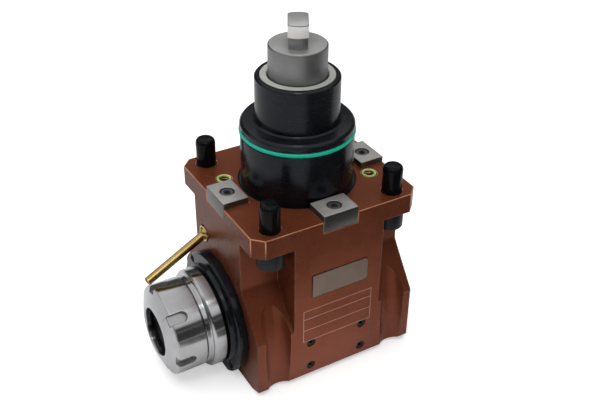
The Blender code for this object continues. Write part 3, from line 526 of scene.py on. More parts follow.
# Black nitrided steel for the shank. The housing's relief also uses it, as painted shade.
BLACK = finish(
    "black_nitrided_shank_and_painted_relief_shade", LATHE, *NITRIDED, (0.18, 0.3), 0.0, 0.1, 2200.0,
    Specular_IOR_Level=0.3, Specular_Tint=(0.82, 0.9, 1.0, 1.0),
)
BLACK_SPUN = finish(
    "black_nitrided_cover", LATHE, *NITRIDED, (0.12, 0.24), 0.0, 0.12, 2200.0, **SPUN,
    Specular_IOR_Level=0.3, Specular_Tint=(0.84, 0.91, 1.0, 1.0),
)
POLISHED = finish(
    "polished_steel", LATHE, (0.56, 0.56, 0.57), (0.49, 0.49, 0.5), (0.16, 0.22), 1.0, 0.08, 2600.0, **SPUN,
    stretch=1.0,
)
# Painted shade for the inside of the spindle's socket.
SOCKET_PAINTED_SHADE = finish(
    "socket_steel_painted_shade", LATHE, (0.05, 0.05, 0.052), (0.03, 0.03, 0.031), (0.3, 0.42), 0.6, 0.1, 2600.0,
    **SPUN,
)
MILLED = finish("milled_slot_steel", GRAIN, (0.58, 0.58, 0.58), (0.46, 0.46, 0.46), (0.4, 0.5), 1.0, 0.2)
# Painted shade: a dark outline on the rounded edges of the nut.
NUT_EDGE_PAINTED_SHADE = finish(
    "nut_edge_painted_shade", LATHE, (0.1, 0.098, 0.094), (0.07, 0.069, 0.066), (0.3, 0.4), 0.8, 0.1, 2600.0,
    **SPUN,
)
SHAFT_GREY = finish(
    "ground_shaft_steel", LATHE, (0.31, 0.31, 0.31), (0.26, 0.26, 0.26), (0.36, 0.5), 0.9, 0.25, 3000.0
)
# Lit copies of the shaft's ground grey: the tang's sides are a painted highlight, and the level faces at the
# top a painted paler grey.
TANG_PAINTED_HIGHLIGHT = finish(
    "ground_tang_steel_painted_highlight", GRAIN, (1.0, 0.99, 0.97), (0.92, 0.9, 0.88), (0.3, 0.42), 0.05, 0.2, 3000.0
)
END_PAINTED_LIGHT = finish(
    "ground_end_steel_painted_light", GRAIN, (0.6, 0.6, 0.59), (0.51, 0.51, 0.5), (0.34, 0.46), 0.8, 0.2, 3000.0
)
# The keys' tops and sides are lit and shaded copies of one ground steel: the sides are painted shade.
KEY_SIDE_PAINTED_SHADE = finish(
    "key_side_steel_painted_shade", GRAIN, (0.17, 0.164, 0.155), (0.125, 0.12, 0.113), (0.3, 0.42), 0.9, 0.3
)
KEY_GREY = finish(
    "ground_key_steel", GRAIN, (0.4, 0.39, 0.372), (0.32, 0.31, 0.296), (0.42, 0.55), 0.5, 0.3
)
BEARING = finish("bearing_steel", LATHE, (0.62, 0.62, 0.64), (0.52, 0.52, 0.54), (0.12, 0.24), 1.0, 0.1)
GEAR = finish("hardened_gear_steel", SPECKLE, (0.34, 0.33, 0.32), (0.24, 0.23, 0.23), (0.28, 0.42), 1.0, 0.15)
SLATE = finish(
    "slate_screw_steel", SPECKLE, (0.014, 0.0165, 0.02), (0.009, 0.0105, 0.0125), (0.34, 0.5), 0.1, 0.2,
    1500.0, Specular_IOR_Level=0.24,
)
SCREW_GREY = finish(
    "grey_screw_steel", LATHE, (0.1, 0.1, 0.1), (0.07, 0.07, 0.07), (0.34, 0.5), 0.5, 0.2, 2600.0
)
VINYL = finish(
    "black_vinyl", SPECKLE, (0.006, 0.006, 0.007), (0.003, 0.003, 0.004), (0.1, 0.22), 0.0, 0.15, 700.0,
    Specular_IOR_Level=0.1,
)
BRASS = finish("drawn_brass", GRAIN, (0.6, 0.43, 0.165), (0.46, 0.315, 0.11), (0.14, 0.28), 1.0, 0.2)
GREEN = finish("turquoise_rubber", SPECKLE, (0.0, 0.57, 0.38), (0.0, 0.48, 0.32), (0.3, 0.42), 0.0, 0.06)
PALE = finish("pale_green_rubber", SPECKLE, (0.42, 0.62, 0.2), (0.31, 0.5, 0.14), (0.36, 0.5), 0.0, 0.06)
BEIGE = finish("beige_seal_rubber", SPECKLE, (0.46, 0.47, 0.43), (0.33, 0.34, 0.31), (0.4, 0.55), 0.0, 0.1)
PLATE = finish(
    "satin_grey_plate", GRAIN, (0.16, 0.113, 0.085), (0.13, 0.09, 0.068), (0.38, 0.5), 0.3, 0.2, 2600.0
)
MARKED = finish("engraved_line", SPECKLE, (0.44, 0.26, 0.21), (0.34, 0.19, 0.15), (0.5, 0.6), 0.0, 0.05)


# Mesh helpers

def object_of(name, bm):
    bmesh.ops.remove_doubles(bm, verts=bm.verts, dist=MERGE)
    bmesh.ops.recalc_face_normals(bm, faces=bm.faces)
    mesh = bpy.data.meshes.new(name)
    bm.to_mesh(mesh)
    bm.free()
    made = bpy.data.objects.new(name, mesh)
    bpy.context.collection.objects.link(made)
    return made


def piece(name, bm, body, look, stands_for=(), edge=0.0, second=None, third=None, angle=30):
    """Makes a finished piece that moves with a body. An edge size rounds its sharp edges.

    The second look is for faces marked with it and for the rounded edges, the third for marked faces."""
    made = object_of(name, bm)
    mesh = made.data
    for finished in (look, second, third):
        if finished:
            mesh.materials.append(finished)
    mesh.shade_smooth()
    mesh.set_sharp_from_angle(angle=radians(angle))
    if edge:
        rounding = made.modifiers.new("rounded_edges", "BEVEL")
        rounding.width = edge * MM
        rounding.segments = 2
        rounding.limit_method = "ANGLE"
        rounding.angle_limit = radians(angle)
        rounding.use_clamp_overlap = False
        rounding.harden_normals = True
        if second:
            rounding.material = SECOND
    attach(made, body)
    if stands_for:
        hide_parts(*stands_for)


def filleted(profile, radius, steps=3):
    """Rounds the corners of an open (radius, height) profile, but for its two ends."""
    largest_share = 0.45
    points = [Vector(p) for p in profile]
    out = [points[0]]
    for before, here, after in zip(points, points[1:], points[2:]):
        a = before - here
        b = after - here
        if a.length < MERGE or b.length < MERGE:
            continue
        reach = min(radius, a.length * largest_share, b.length * largest_share)
        start = here + a.normalized() * reach
        end = here + b.normalized() * reach
        for k in range(steps + 1):
            t = k / steps
            out.append(start * (1 - t) ** 2 + here * 2 * t * (1 - t) + end * t ** 2)
    out.append(points[-1])
    return [(p.x, p.y) for p in out]


def turned(profile, steps=FINE, fillet=0.0, closed=False):
    """Revolves a profile about Z. A closed profile joins its last point to its first."""
    points = list(profile)
    if closed and fillet:
        seam = [(a + b) / 2 for a, b in zip(points[0], points[-1])]
        points = filleted([seam] + points + [seam], fillet)[:-1]
    elif fillet:
        points = filleted(points, fillet)
    bm = bmesh.new()
    verts = [bm.verts.new((r * MM, 0.0, z * MM)) for r, z in points]
    edges = [bm.edges.new(pair) for pair in zip(verts, verts[1:])]
    if closed:
        edges.append(bm.edges.new((verts[-1], verts[0])))
    bmesh.ops.spin(
        bm, geom=verts + edges, cent=(0, 0, 0), axis=(0, 0, 1), angle=2 * pi, steps=steps, use_merge=True
    )
    bmesh.ops.remove_doubles(bm, verts=bm.verts, dist=MERGE)
    return bm


def torus(major, minor, height, steps=FINE, sides=24):
    angles = [2 * pi * k / sides for k in range(sides)]
    return turned([(major + minor * cos(a), height + minor * sin(a)) for a in angles], steps, closed=True)


def stepped(start, *steps):
    """The profile of a stepped bore: each step has a radius and the height at which it ends."""
    points = [(0, start)]
    for radius, end in steps:
        points += [(radius, points[-1][1]), (radius, end)]
    return points + [(0, points[-1][1])]


def place(x=0.0, y=0.0, z=0.0, turn=0.0, axis="Z"):
    """The matrix that turns a shape about an axis and then carries it to a point."""
    return Matrix.Translation(Vector((x, y, z)) * MM) @ Matrix.Rotation(radians(turn), 4, axis)


FORWARD = place(z=SPINDLE_Z, turn=90, axis="X")
BACKWARD = place(z=SPINDLE_Z, turn=-90, axis="X")


def moved(bm, matrix):
    bm.transform(matrix)
    return bm


def block(x, y, z):
    bm = bmesh.new()
    bmesh.ops.create_cube(bm, size=1.0)
    size = Vector([high - low for low, high in (x, y, z)]) * MM
    middle = Vector([(high + low) / 2 for low, high in (x, y, z)]) * MM
    bmesh.ops.scale(bm, verts=bm.verts, vec=size)
    bmesh.ops.translate(bm, verts=bm.verts, vec=middle)
    return bm


def rod(radius, low, high, steps=MEDIUM):
    bm = bmesh.new()
    size = radius * MM
    bmesh.ops.create_cone(
        bm, cap_ends=True, segments=steps, radius1=size, radius2=size, depth=(high - low) * MM
    )
    return moved(bm, place(z=(high + low) / 2))


def hexagon(across, low, high):
    return rod(across / 2 / cos(pi / 6), low, high, 6)


def prism(outline, low, high):
    bm = bmesh.new()
    face = bm.faces.new([bm.verts.new((a * MM, b * MM, low * MM)) for a, b in outline])
    made = bmesh.ops.extrude_face_region(bm, geom=[face])
    top = [v for v in made["geom"] if isinstance(v, bmesh.types.BMVert)]
    bmesh.ops.translate(bm, verts=top, vec=(0, 0, (high - low) * MM))
    bmesh.ops.recalc_face_normals(bm, faces=bm.faces)
    return bm


def joined(shapes):
    total = bmesh.new()
    for bm in shapes:
        mesh = bpy.data.meshes.new("loose")
        bm.to_mesh(mesh)
        bm.free()
        total.from_mesh(mesh)
        bpy.data.meshes.remove(mesh)
    return total


def carved(bm, cutters):
    """Cuts each cutter out of a shape, and gives the shape back."""
    target = object_of("work", bm)
    tools = []
    for cutter in cutters:
        tool = object_of("tool", cutter)
        step = target.modifiers.new("cut", "BOOLEAN")
        step.object = tool
        step.operation = "DIFFERENCE"
        step.solver = "EXACT"
        tools.append(tool)
    seen = target.evaluated_get(bpy.context.evaluated_depsgraph_get())
    result = bmesh.new()
    result.from_mesh(seen.to_mesh())
    for thing in [target] + tools:
        bpy.data.objects.remove(thing)
    bmesh.ops.remove_doubles(result, verts=result.verts, dist=2 * MERGE)
    bmesh.ops.dissolve_degenerate(result, dist=2 * MERGE, edges=result.edges)
    return result


def bevelled(bm, size, segments, edges):
    bmesh.ops.bevel(
        bm, geom=edges, offset=size * MM, segments=segments, profile=0.5, affect="EDGES", material=-1
    )
    return bm


# Housing

def ear_pocket(sx, sy):
    """The open space under one ear of the flange, over a floor that falls outwards."""
    reach = HALF_X + OVER
    fall = (SLOPE_TOP - SLOPE_FOOT) / (HALF_X - POCKET_X)
    low = SLOPE_TOP - fall * (reach - POCKET_X)
    outline = [(POCKET_X, FLANGE_FOOT), (POCKET_X, SLOPE_TOP), (reach, low), (reach, FLANGE_FOOT)]
    bm = prism([(sx * x, z) for x, z in outline], POCKET_Y, HALF_Y + OVER)
    near_x = (POCKET_X + 1) * MM
    near_z = (SLOPE_TOP + 1) * MM
    foot = [e for e in bm.edges if all(abs(v.co.x) < near_x and v.co.y < near_z for v in e.verts)]
    moved(bevelled(bm, POCKET_ROUND, 5, foot), Matrix.Rotation(radians(90), 4, "X"))
    if sy > 0:
        bmesh.ops.scale(bm, verts=bm.verts, vec=(1, -1, 1))
        bmesh.ops.reverse_faces(bm, faces=bm.faces)
    return bm


def key_groove(sx, sy):
    """The round groove down a side, which lets a wrench reach the screw above it."""
    lean = place(sx * SCREW_X, sy * SCREW_Y, GROOVE_PIVOT_Z, -sx * GROOVE_LEAN, "Y")
    return moved(rod(GROOVE_R, *GROOVE_SPAN, BORE_STEPS), lean)


def base_strip(side):
    """What the base loses along one side, so that it rises outwards there."""
    inner = HALF_X - STRIP_W - OVER
    outer = HALF_X + OVER
    low = -OVER * STRIP_RISE
    high = (STRIP_W + OVER) * STRIP_RISE
    outline = [(inner, low), (outer, low), (outer, high)]
    bm = prism([(side * x, z) for x, z in outline], -HALF_Y - OVER, HALF_Y + OVER)
    return moved(bm, Matrix.Rotation(radians(90), 4, "X"))


def flange_corner(sx, sy):
    inner_x = HALF_X - FLANGE_CORNER - OVER
    inner_y = HALF_Y - FLANGE_CORNER - OVER
    outer_x = HALF_X + OVER
    outer_y = HALF_Y + OVER
    corner = [(inner_x, outer_y), (outer_x, inner_y), (outer_x, outer_y)]
    return prism([(sx * x, sy * y) for x, y in corner], FLANGE_FOOT - OVER, FLANGE_TOP + OVER)


def housing_bores():
    """The stepped bores of the shank, of the spindle and of the coolant, as cutters."""
    above = FLANGE_TOP + OVER
    outside = HALF_Y + OVER
    shank_bore = stepped(
        above, (RELIEF_R, RELIEF_FLOOR), (SLEEVE_SEAT_R, SLEEVE_SEAT_FLOOR), (GEAR_ROOM_R, GEAR_ROOM_FLOOR)
    )
    spindle_bore = stepped(
        outside, (FRONT_BORE_R, FRONT_BORE_FLOOR), (CROSS_ROOM_R, CROSS_ROOM_BACK), (WEB_R, WEB_BACK),
        (REAR_BORE_R, REAR_BORE_END), (REAR_MOUTH_R, -outside),
    )
    port = stepped(PORT_FOOT, (PORT_R, PORT_MOUTH_FLOOR), (PORT_MOUTH_R, above))
    nozzle = stepped(CHANNEL_START, (CHANNEL_R, CHANNEL_MOUTH_FLOOR), (NOZZLE_MOUTH_R, outside))
    plug = stepped(CHANNEL_START, (CHANNEL_R, CHANNEL_MOUTH_FLOOR), (PLUG_MOUTH_R, outside))
    cuts = [turned(shank_bore, BORE_STEPS), moved(turned(spindle_bore, CROSS_STEPS), FORWARD)]
    cuts += [moved(turned(port, SMALL), place(side * PORT_X, side * PORT_Y)) for side in (1, -1)]
    cuts.append(moved(turned(nozzle, SMALL), place(-PORT_X, 0, CHANNEL_Z, 90, "X")))
    cuts.append(moved(turned(plug, SMALL), place(PORT_X, 0, CHANNEL_Z, -90, "X")))
    return cuts


def housing_seats():
    """The seats of the keys, the plate, the mounting screws and the side plugs, as cutters."""
    above = FLANGE_TOP + OVER
    plate_y, plate_z = [(low - PLATE_SEAT_GAP, high + PLATE_SEAT_GAP) for low, high in (PLATE_Y, PLATE_Z)]
    cuts = []
    for sx, sy in QUADRANTS:
        hole = rod(SCREW_HOLE_R, FLANGE_FOOT - OVER, above, SMALL)
        cuts.append(moved(hole, place(sx * SCREW_X, sy * SCREW_Y)))
    for x, y, turn in KEY_PLACES.values():
        cuts.append(moved(block(KEY_SEAT_X, KEY_SEAT_Y, (KEY_SEAT_FLOOR, above)), place(x, y, 0, turn)))
    cuts.append(block((HALF_X - PLATE_SEAT_DEPTH, HALF_X + OVER), plate_y, plate_z))
    for y, z in SIDE_PLUGS:
        cuts.append(moved(rod(SIDE_HOLE_R, SIDE_HOLE_FLOOR, HALF_X + OVER, COARSE), place(0, y, z, 90, "Y")))
    return cuts


def housing():
    body = block((-HALF_X, HALF_X), (-HALF_Y, HALF_Y), (0, FLANGE_TOP))
    cuts = [ear_pocket(sx, sy) for sx, sy in QUADRANTS]
    cuts += [key_groove(sx, sy) for sx, sy in QUADRANTS]
    cuts += [base_strip(side) for side in (1, -1)]
    cuts += [flange_corner(sx, sy) for sx, sy in QUADRANTS]
    cast = carved(body, cuts + housing_bores() + housing_seats())
    # The relief round the shank takes the black finish as painted shade in the recess.
    for face in cast.faces:
        spot = face.calc_center_median() / MM
        if spot.xy.length < RELIEF_R + 0.1 and spot.z > RELIEF_FLOOR - 0.1:
            face.material_index = THIRD
    piece(
        "housing_body", cast, "housing", BROWN, ["housing"], 0.55,
        second=RUBBED_AND_HIGHLIT, third=BLACK,
    )


# Shank and drive shaft

def shank():
    """The stepped sleeve, open all through, with its sealing ring and the seal in its mouth."""
    groove_foot, groove_top = RING_GROOVE
    sleeve = [
        (SLEEVE_R, SLEEVE_FOOT), (SLEEVE_R, SHANK_FOOT), (SHANK_R, SHANK_FOOT), (SHANK_R, groove_foot),
        (RING_GROOVE_R, groove_foot), (RING_GROOVE_R, groove_top), (SHANK_R, groove_top),
        (SHANK_R, SHANK_STEP - 1.8), (SHANK_R - 1.5, SHANK_STEP), (NECK_R + 1.1, SHANK_STEP),
        (NECK_R, SHANK_STEP + 1.0), (NECK_R, NECK_TOP - 1.1), (NECK_R - 1.1, NECK_TOP),
        (SEAL_BORE_R, NECK_TOP), (SEAL_BORE_R, SEAL_FLOOR), (LIP_R, SEAL_FLOOR), (LIP_R, LIP_FOOT),
        (BEARING_BORE_R, LIP_FOOT), (BEARING_BORE_R, BEARING_BORE_FOOT), (SLEEVE_MOUTH_R, BEARING_BORE_FOOT),
        (SLEEVE_MOUTH_R, SLEEVE_FOOT),
    ]
    turned_sleeve = turned(sleeve, FINE, 0.35, True)
    piece("shank_turned", turned_sleeve, "housing", BLACK, ["shank_sleeve"])
    ring = torus(RING_R, RING_SECTION_R, (groove_foot + groove_top) / 2)
    piece("shank_sealing_ring", ring, "housing", GREEN, ["shank_o_ring"])
    inner = LIP_R - 0.1
    outer = SEAL_BORE_R - FIT
    crest = NECK_TOP + FIT
    seal = [
        (inner, SEAL_FLOOR + 0.9), (outer, SEAL_FLOOR + 0.9), (outer, crest - 0.4), (outer - 0.7, crest),
        (outer - 2.5, crest - 0.4), (inner + 1.2, crest), (inner + 0.3, crest - 0.4), (inner, crest - 1.6),
    ]
    lip = turned(seal, FINE, 0.3, True)
    piece("shaft_seal_lip", lip, "housing", BEIGE, ["shaft_seal"])


def slab(half_t, radius, low, high, edge):
    """A round bar with two flats, turned to where the coupling rests."""
    bm = rod(radius, low, high, FINE)
    for side in (1, -1):
        geometry = list(bm.verts) + list(bm.edges) + list(bm.faces)
        cut = bmesh.ops.bisect_plane(
            bm, geom=geometry, plane_co=(0, side * half_t * MM, 0), plane_no=(0, side, 0), clear_outer=True
        )
        loop = [e for e in cut["geom_cut"] if isinstance(e, bmesh.types.BMEdge)]
        bmesh.ops.holes_fill(bm, edges=loop, sides=0)
    bmesh.ops.dissolve_limit(bm, angle_limit=radians(1), verts=bm.verts, edges=bm.edges)
    sharp = [e for e in bm.edges if e.is_manifold and e.calc_face_angle() > radians(20)]
    return moved(bevelled(bm, edge, 2, sharp), place(turn=TANG_TURN))


def drive_shaft():
    """The shaft up to its tang, whose sides are painted near white as a highlight. The level faces at the top
    are painted a paler grey as lit faces.
    """
    body_foot, body_top = SHAFT_BODY
    profile = [
        (0, SHAFT_FOOT), (SHAFT_GEAR_R - 0.7, SHAFT_FOOT), (SHAFT_GEAR_R, SHAFT_FOOT + 0.7),
        (SHAFT_GEAR_R, SHAFT_GEAR_TOP), (SHAFT_JOURNAL_R, SHAFT_GEAR_TOP), (SHAFT_JOURNAL_R, body_foot),
        (SHAFT_BODY_R, body_foot), (SHAFT_BODY_R, body_top), (SHAFT_JOURNAL_R, body_top),
        (SHAFT_JOURNAL_R, HEAD_FOOT), (HEAD_R, HEAD_FOOT), (HEAD_R, HEAD_TOP - CHAMFER),
        (HEAD_R - CHAMFER, HEAD_TOP), (0, HEAD_TOP),
    ]
    body = turned(profile, FINE, 0.3)
    neck = slab(TANG_NECK_HALF, TANG_NECK_R, HEAD_TOP - 0.3, TANG_FOOT + 0.5, 0.05)
    tang = slab(TANG_HALF, TANG_R, TANG_FOOT, TANG_TOP, 0.6)
    shaft = joined([body, neck, tang])
    for face in shaft.faces:
        height = face.calc_center_median().z / MM
        level = abs(face.normal.z)
        if level < 0.3 and height > TANG_FOOT:
            face.material_index = SECOND
        elif level > 0.9 and height > HEAD_TOP - 1:
            face.material_index = THIRD
    piece(
        "drive_shaft_turned", shaft, "drive_shaft", SHAFT_GREY, ["drive_shaft"],
        second=TANG_PAINTED_HIGHLIGHT, third=END_PAINTED_LIGHT,
    )


# Spindle, nut and covers

def spindle():
    """The spindle from its rear end to its nose, and down the tapered socket, whose inside is painted dark as
    shade.
    """
    socket_floor = NOSE_END - SOCKET_DEPTH
    socket_floor_r = SOCKET_R - SOCKET_DEPTH * tan(radians(SOCKET_SLOPE))
    profile = [
        (0, REAR_END), (REAR_JOURNAL_R - 0.5, REAR_END), (REAR_JOURNAL_R, REAR_END + 0.6),
        (REAR_JOURNAL_R, REAR_JOURNAL_END), (STEM_R, REAR_JOURNAL_END), (STEM_R, STEM_END),
        (GEAR_SEAT_R, STEM_END), (GEAR_SEAT_R, GEAR_SEAT_END), (FRONT_JOURNAL_R, GEAR_SEAT_END),
        (FRONT_JOURNAL_R, FRONT_JOURNAL_END), (SEAL_LAND_R, FRONT_JOURNAL_END), (SEAL_LAND_R, SEAL_LAND_END),
        (SHOULDER_R - 0.5, SEAL_LAND_END), (SHOULDER_R, SEAL_LAND_END + 0.6),
        (SHOULDER_R, SHOULDER_END - 1.4), (SHOULDER_R - 1.3, SHOULDER_END),
        (COLLAR_R + 0.6, SHOULDER_END), (COLLAR_R, SHOULDER_END + 0.6),
        (COLLAR_R, COLLAR_END - 0.3), (COLLAR_R - 0.3, COLLAR_END), (NOSE_R, COLLAR_END),
        (NOSE_R, NOSE_END - CHAMFER), (NOSE_R - CHAMFER, NOSE_END), (SOCKET_R + 0.3, NOSE_END),
        (SOCKET_R, NOSE_END - 0.3), (socket_floor_r, socket_floor), (WELL_R, socket_floor),
        (WELL_R, WELL_FLOOR), (0, WELL_FLOOR),
    ]
    nose = moved(turned(profile, FINE, 0.35), FORWARD)
    for face in nose.faces:
        x, y, z = face.calc_center_median() / MM
        if -y > SOCKET_SHADE_FROM and hypot(x, z - SPINDLE_Z) < SOCKET_R + 0.1:
            face.material_index = SECOND
    piece("spindle_turned", nose, "spindle", POLISHED, ["spindle"], second=SOCKET_PAINTED_SHADE)


def nut_slot(angle):
    """A wrench slot with a round rear end, open at the nut's front."""
    steps = 24
    front = NUT_FRONT + OVER
    angles = [pi * k / steps for k in range(steps + 1)]
    bend = [(-SLOT_HALF * cos(a), SLOT_ROUND - SLOT_HALF * sin(a)) for a in angles]
    slot = prism([(SLOT_HALF, front), (-SLOT_HALF, front)] + bend, SLOT_FLOOR_R, NUT_R + OVER)
    stand = Matrix(((0, 0, 1, 0), (1, 0, 0, 0), (0, 1, 0, 0), (0, 0, 0, 1)))
    return moved(slot, FORWARD @ place(turn=angle) @ stand)


def clamp_nut():
    profile = [
        (NUT_BORE_R, NUT_BACK), (NUT_R - CHAMFER, NUT_BACK), (NUT_R, NUT_BACK + CHAMFER),
        (NUT_R, NUT_SHOULDER - 0.9), (NUT_R - 0.4, NUT_SHOULDER), (NUT_FACE_R + 1.6, NUT_FRONT - 0.5),
        (NUT_FACE_R, NUT_FRONT),
        (NUT_MOUTH_R + 0.5, NUT_FRONT), (NUT_MOUTH_R, NUT_FRONT - 0.5), (NUT_MOUTH_R, NUT_MOUTH_FLOOR),
        (NUT_RING_R, NUT_MOUTH_FLOOR), (NUT_RING_R, NUT_RING_FLOOR), (NUT_BORE_R, NUT_RING_FLOOR),
    ]
    body = moved(turned(profile, FINE, 0.25, True), FORWARD)
    nut = carved(body, [nut_slot(SLOT_TURN + 360 / SLOTS * k) for k in range(SLOTS)])
    slot_end = SLOT_ROUND - SLOT_HALF
    for face in nut.faces:
        x, y, z = face.calc_center_median() / MM
        along = slot_end - 0.1 < -y < NUT_SHOULDER - 0.1
        if along and SLOT_FLOOR_R - 0.3 < hypot(x, z - SPINDLE_Z) < NUT_R - 0.1:
            face.material_index = THIRD
    piece(
        "clamp_nut_body", nut, "clamp_nut", POLISHED, ["clamp_nut"], 0.22,
        second=NUT_EDGE_PAINTED_SHADE, third=MILLED, angle=50,
    )
    ring = [
        (18.9, NUT_RING_FLOOR + FIT), (NUT_RING_R - FIT, NUT_RING_FLOOR + FIT),
        (NUT_RING_R - FIT, NUT_MOUTH_FLOOR - FIT), (NUT_MOUTH_R + FIT, NUT_MOUTH_FLOOR - FIT),
    ]
    sliding = moved(turned(ring, FINE, 0.2, True), FORWARD)
    piece("nut_sliding_ring", sliding, "nut_ring", POLISHED, ["nut_friction_ring"])


def socket_head(radius, height, shank_r, length, across, depth, edge=0.4):
    """A socket head screw, head up, with the underside of its head at height 0."""
    profile = [
        (0, -length), (shank_r - 0.5, -length), (shank_r, -length + 0.6), (shank_r, 0), (radius, 0),
        (radius, height), (0, height),
    ]
    rim = rod(across * 0.64, height - 0.25, height + 1, SMALL)
    return carved(turned(profile, SMALL, edge), [hexagon(across, height - depth, height + 1), rim])


def diagonal_places(radius):
    offset = radius * sin(radians(45))
    return [(sx * offset, SPINDLE_Z + sz * offset) for sx, sz in QUADRANTS]


def cover_screw_seats(radius, seat, way):
    """The stepped holes of a cover's screws. The way is 1 at the front and -1 at the back."""
    hole = stepped(HALF_Y - OVER, (SMALL_HOLE_R, seat), (SMALL_HEAD_HOLE_R, COVER_RIM + OVER))
    return [moved(turned(hole, COARSE), place(x, 0, z, way * 90, "X")) for x, z in diagonal_places(radius)]


def cover_screws(name, stands_for, radius, seat, way):
    for number, (x, z) in enumerate(diagonal_places(radius), 1):
        at = place(x, -way * (seat + SMALL_SCREW_LIFT), z, way * 90, "X")
        screw = moved(socket_head(**SMALL_SCREW), at)
        piece(f"{name}_{number}", screw, "housing", SLATE, [f"{stands_for}_{number}"])


def bearing_cover():
    profile = [
        (SEAL_SEAT_R, COVER_SPIGOT), (COVER_SPIGOT_R, COVER_SPIGOT), (COVER_SPIGOT_R, COVER_BACK),
        (COVER_R, COVER_BACK), (COVER_R, COVER_FACE - CHAMFER), (COVER_R - CHAMFER, COVER_FACE),
        (COVER_RIM_R + 0.6, COVER_FACE), (COVER_RIM_R, COVER_RIM - 0.4), (COVER_RIM_R - 0.6, COVER_RIM),
        (COVER_BORE_R, COVER_RIM), (COVER_BORE_R, SEAL_STOP), (SEAL_SEAT_R, SEAL_STOP),
    ]
    body = moved(turned(profile, FINE, 0.25, True), FORWARD)
    wide = COVER_R + OVER
    below = block((-wide, wide), (-COVER_RIM - OVER, OVER - COVER_SPIGOT), (SPINDLE_Z - wide, COVER_FLAT_Z))
    cover = carved(body, [below] + cover_screw_seats(COVER_SCREW_R, COVER_SCREW_SEAT, 1))
    piece(
        "bearing_cover_turned", cover, "housing", BLACK_SPUN, ["bearing_cover"], 0.25,
        angle=50,
    )
    cover_screws("cover_socket_screw", "cover_screw", COVER_SCREW_R, COVER_SCREW_SEAT, 1)
    inner = SEAL_LAND_R + FIT
    outer = SEAL_SEAT_R - FIT
    back = COVER_BACK + FIT
    front = SEAL_STOP - 0.4
    seal = turned([(inner, back), (outer, back), (outer, front), (inner, front)], FINE, 0.3, True)
    piece("spindle_seal_ring", moved(seal, FORWARD), "housing", BEIGE, ["spindle_seal"])


def rear_cover():
    profile = [
        (0, REAR_SPIGOT), (REAR_SPIGOT_R, REAR_SPIGOT), (REAR_SPIGOT_R, COVER_BACK), (REAR_R, COVER_BACK),
        (REAR_R, REAR_FACE - CHAMFER), (REAR_R - CHAMFER, REAR_FACE), (REAR_DISH_R, REAR_FACE),
        (REAR_DISH_R - 0.4, REAR_FACE - 0.4), (0, REAR_FACE - 0.4),
    ]
    body = moved(turned(profile, FINE, 0.2), BACKWARD)
    cover = carved(body, cover_screw_seats(REAR_SCREW_R, REAR_SCREW_SEAT, -1))
    piece(
        "rear_cover_turned", cover, "housing", BLACK_SPUN, ["rear_cover"], 0.2,
        angle=50,
    )
    cover_screws("rear_socket_screw", "rear_cover_screw", REAR_SCREW_R, REAR_SCREW_SEAT, -1)


# Keys, screws and caps

def keys():
    """Four blocks whose sides are painted darker than their tops as shade, each held down by a screw in a
    chamfered recess.
    """
    low, top = KEY_Z
    seat_floor = top - KEY_HEAD_DEPTH
    recess = [
        (0, low - OVER), (KEY_HOLE_R, low - OVER), (KEY_HOLE_R, seat_floor), (KEY_HEAD_HOLE_R, seat_floor),
        (KEY_HEAD_HOLE_R, top - 0.3), (KEY_HEAD_HOLE_R + 0.4, top + 0.1), (KEY_HEAD_HOLE_R + 0.4, top + OVER),
        (0, top + OVER),
    ]
    for side, (x, y, turn) in KEY_PLACES.items():
        bm = block(KEY_X, KEY_Y, KEY_Z)
        key = carved(bevelled(bm, 0.5, 3, list(bm.edges)), [turned(recess, MEDIUM)])
        for face in key.faces:
            if abs(face.normal.z) < 0.5:
                face.material_index = SECOND
        piece(
            f"key_block_{side}", moved(key, place(x, y, 0, turn)), "housing", KEY_GREY,
            [f"locating_key_{side}"], second=KEY_SIDE_PAINTED_SHADE,
        )
        screw = moved(socket_head(**KEY_SCREW), place(x, y, seat_floor + FIT))
        name = f"key_socket_screw_{side}"
        piece(name, screw, "housing", SCREW_GREY, [f"key_screw_{side}"])


def mounting_screws():
    """Screws with their heads under the flange, and a soft cap with a slight waist over each thread."""
    cap = [
        (0, CAP_TOP), (3.6, CAP_TOP), (5.4, CAP_TOP - 0.5), (6.4, CAP_TOP - 1.7), (CAP_R, CAP_TOP - 3.3),
        (CAP_WAIST_R, 8.0), (CAP_R, 1.2), (CAP_R, CAP_FOOT), (CAP_BORE_R, CAP_FOOT),
        (CAP_BORE_R, CAP_CEILING - 0.8), (5.2, CAP_CEILING), (0, CAP_CEILING),
    ]
    for number, (sx, sy) in enumerate(QUADRANTS, 1):
        x, y = sx * SCREW_X, sy * SCREW_Y
        screw = moved(socket_head(**MOUNTING_SCREW), place(x, y, FLANGE_FOOT - FIT, 180, "X"))
        piece(
            f"mounting_socket_screw_{number}", screw, "housing", SLATE, [f"mounting_screw_{number}"],
        )
        cover = moved(turned(cap, MEDIUM, 0.5), place(x, y, FLANGE_TOP))
        body = f"thread_cap_{number}"
        piece(f"vinyl_cap_{number}", cover, body, VINYL, [f"thread_cap_{number}"])


# Coolant parts, plate, plugs and lines

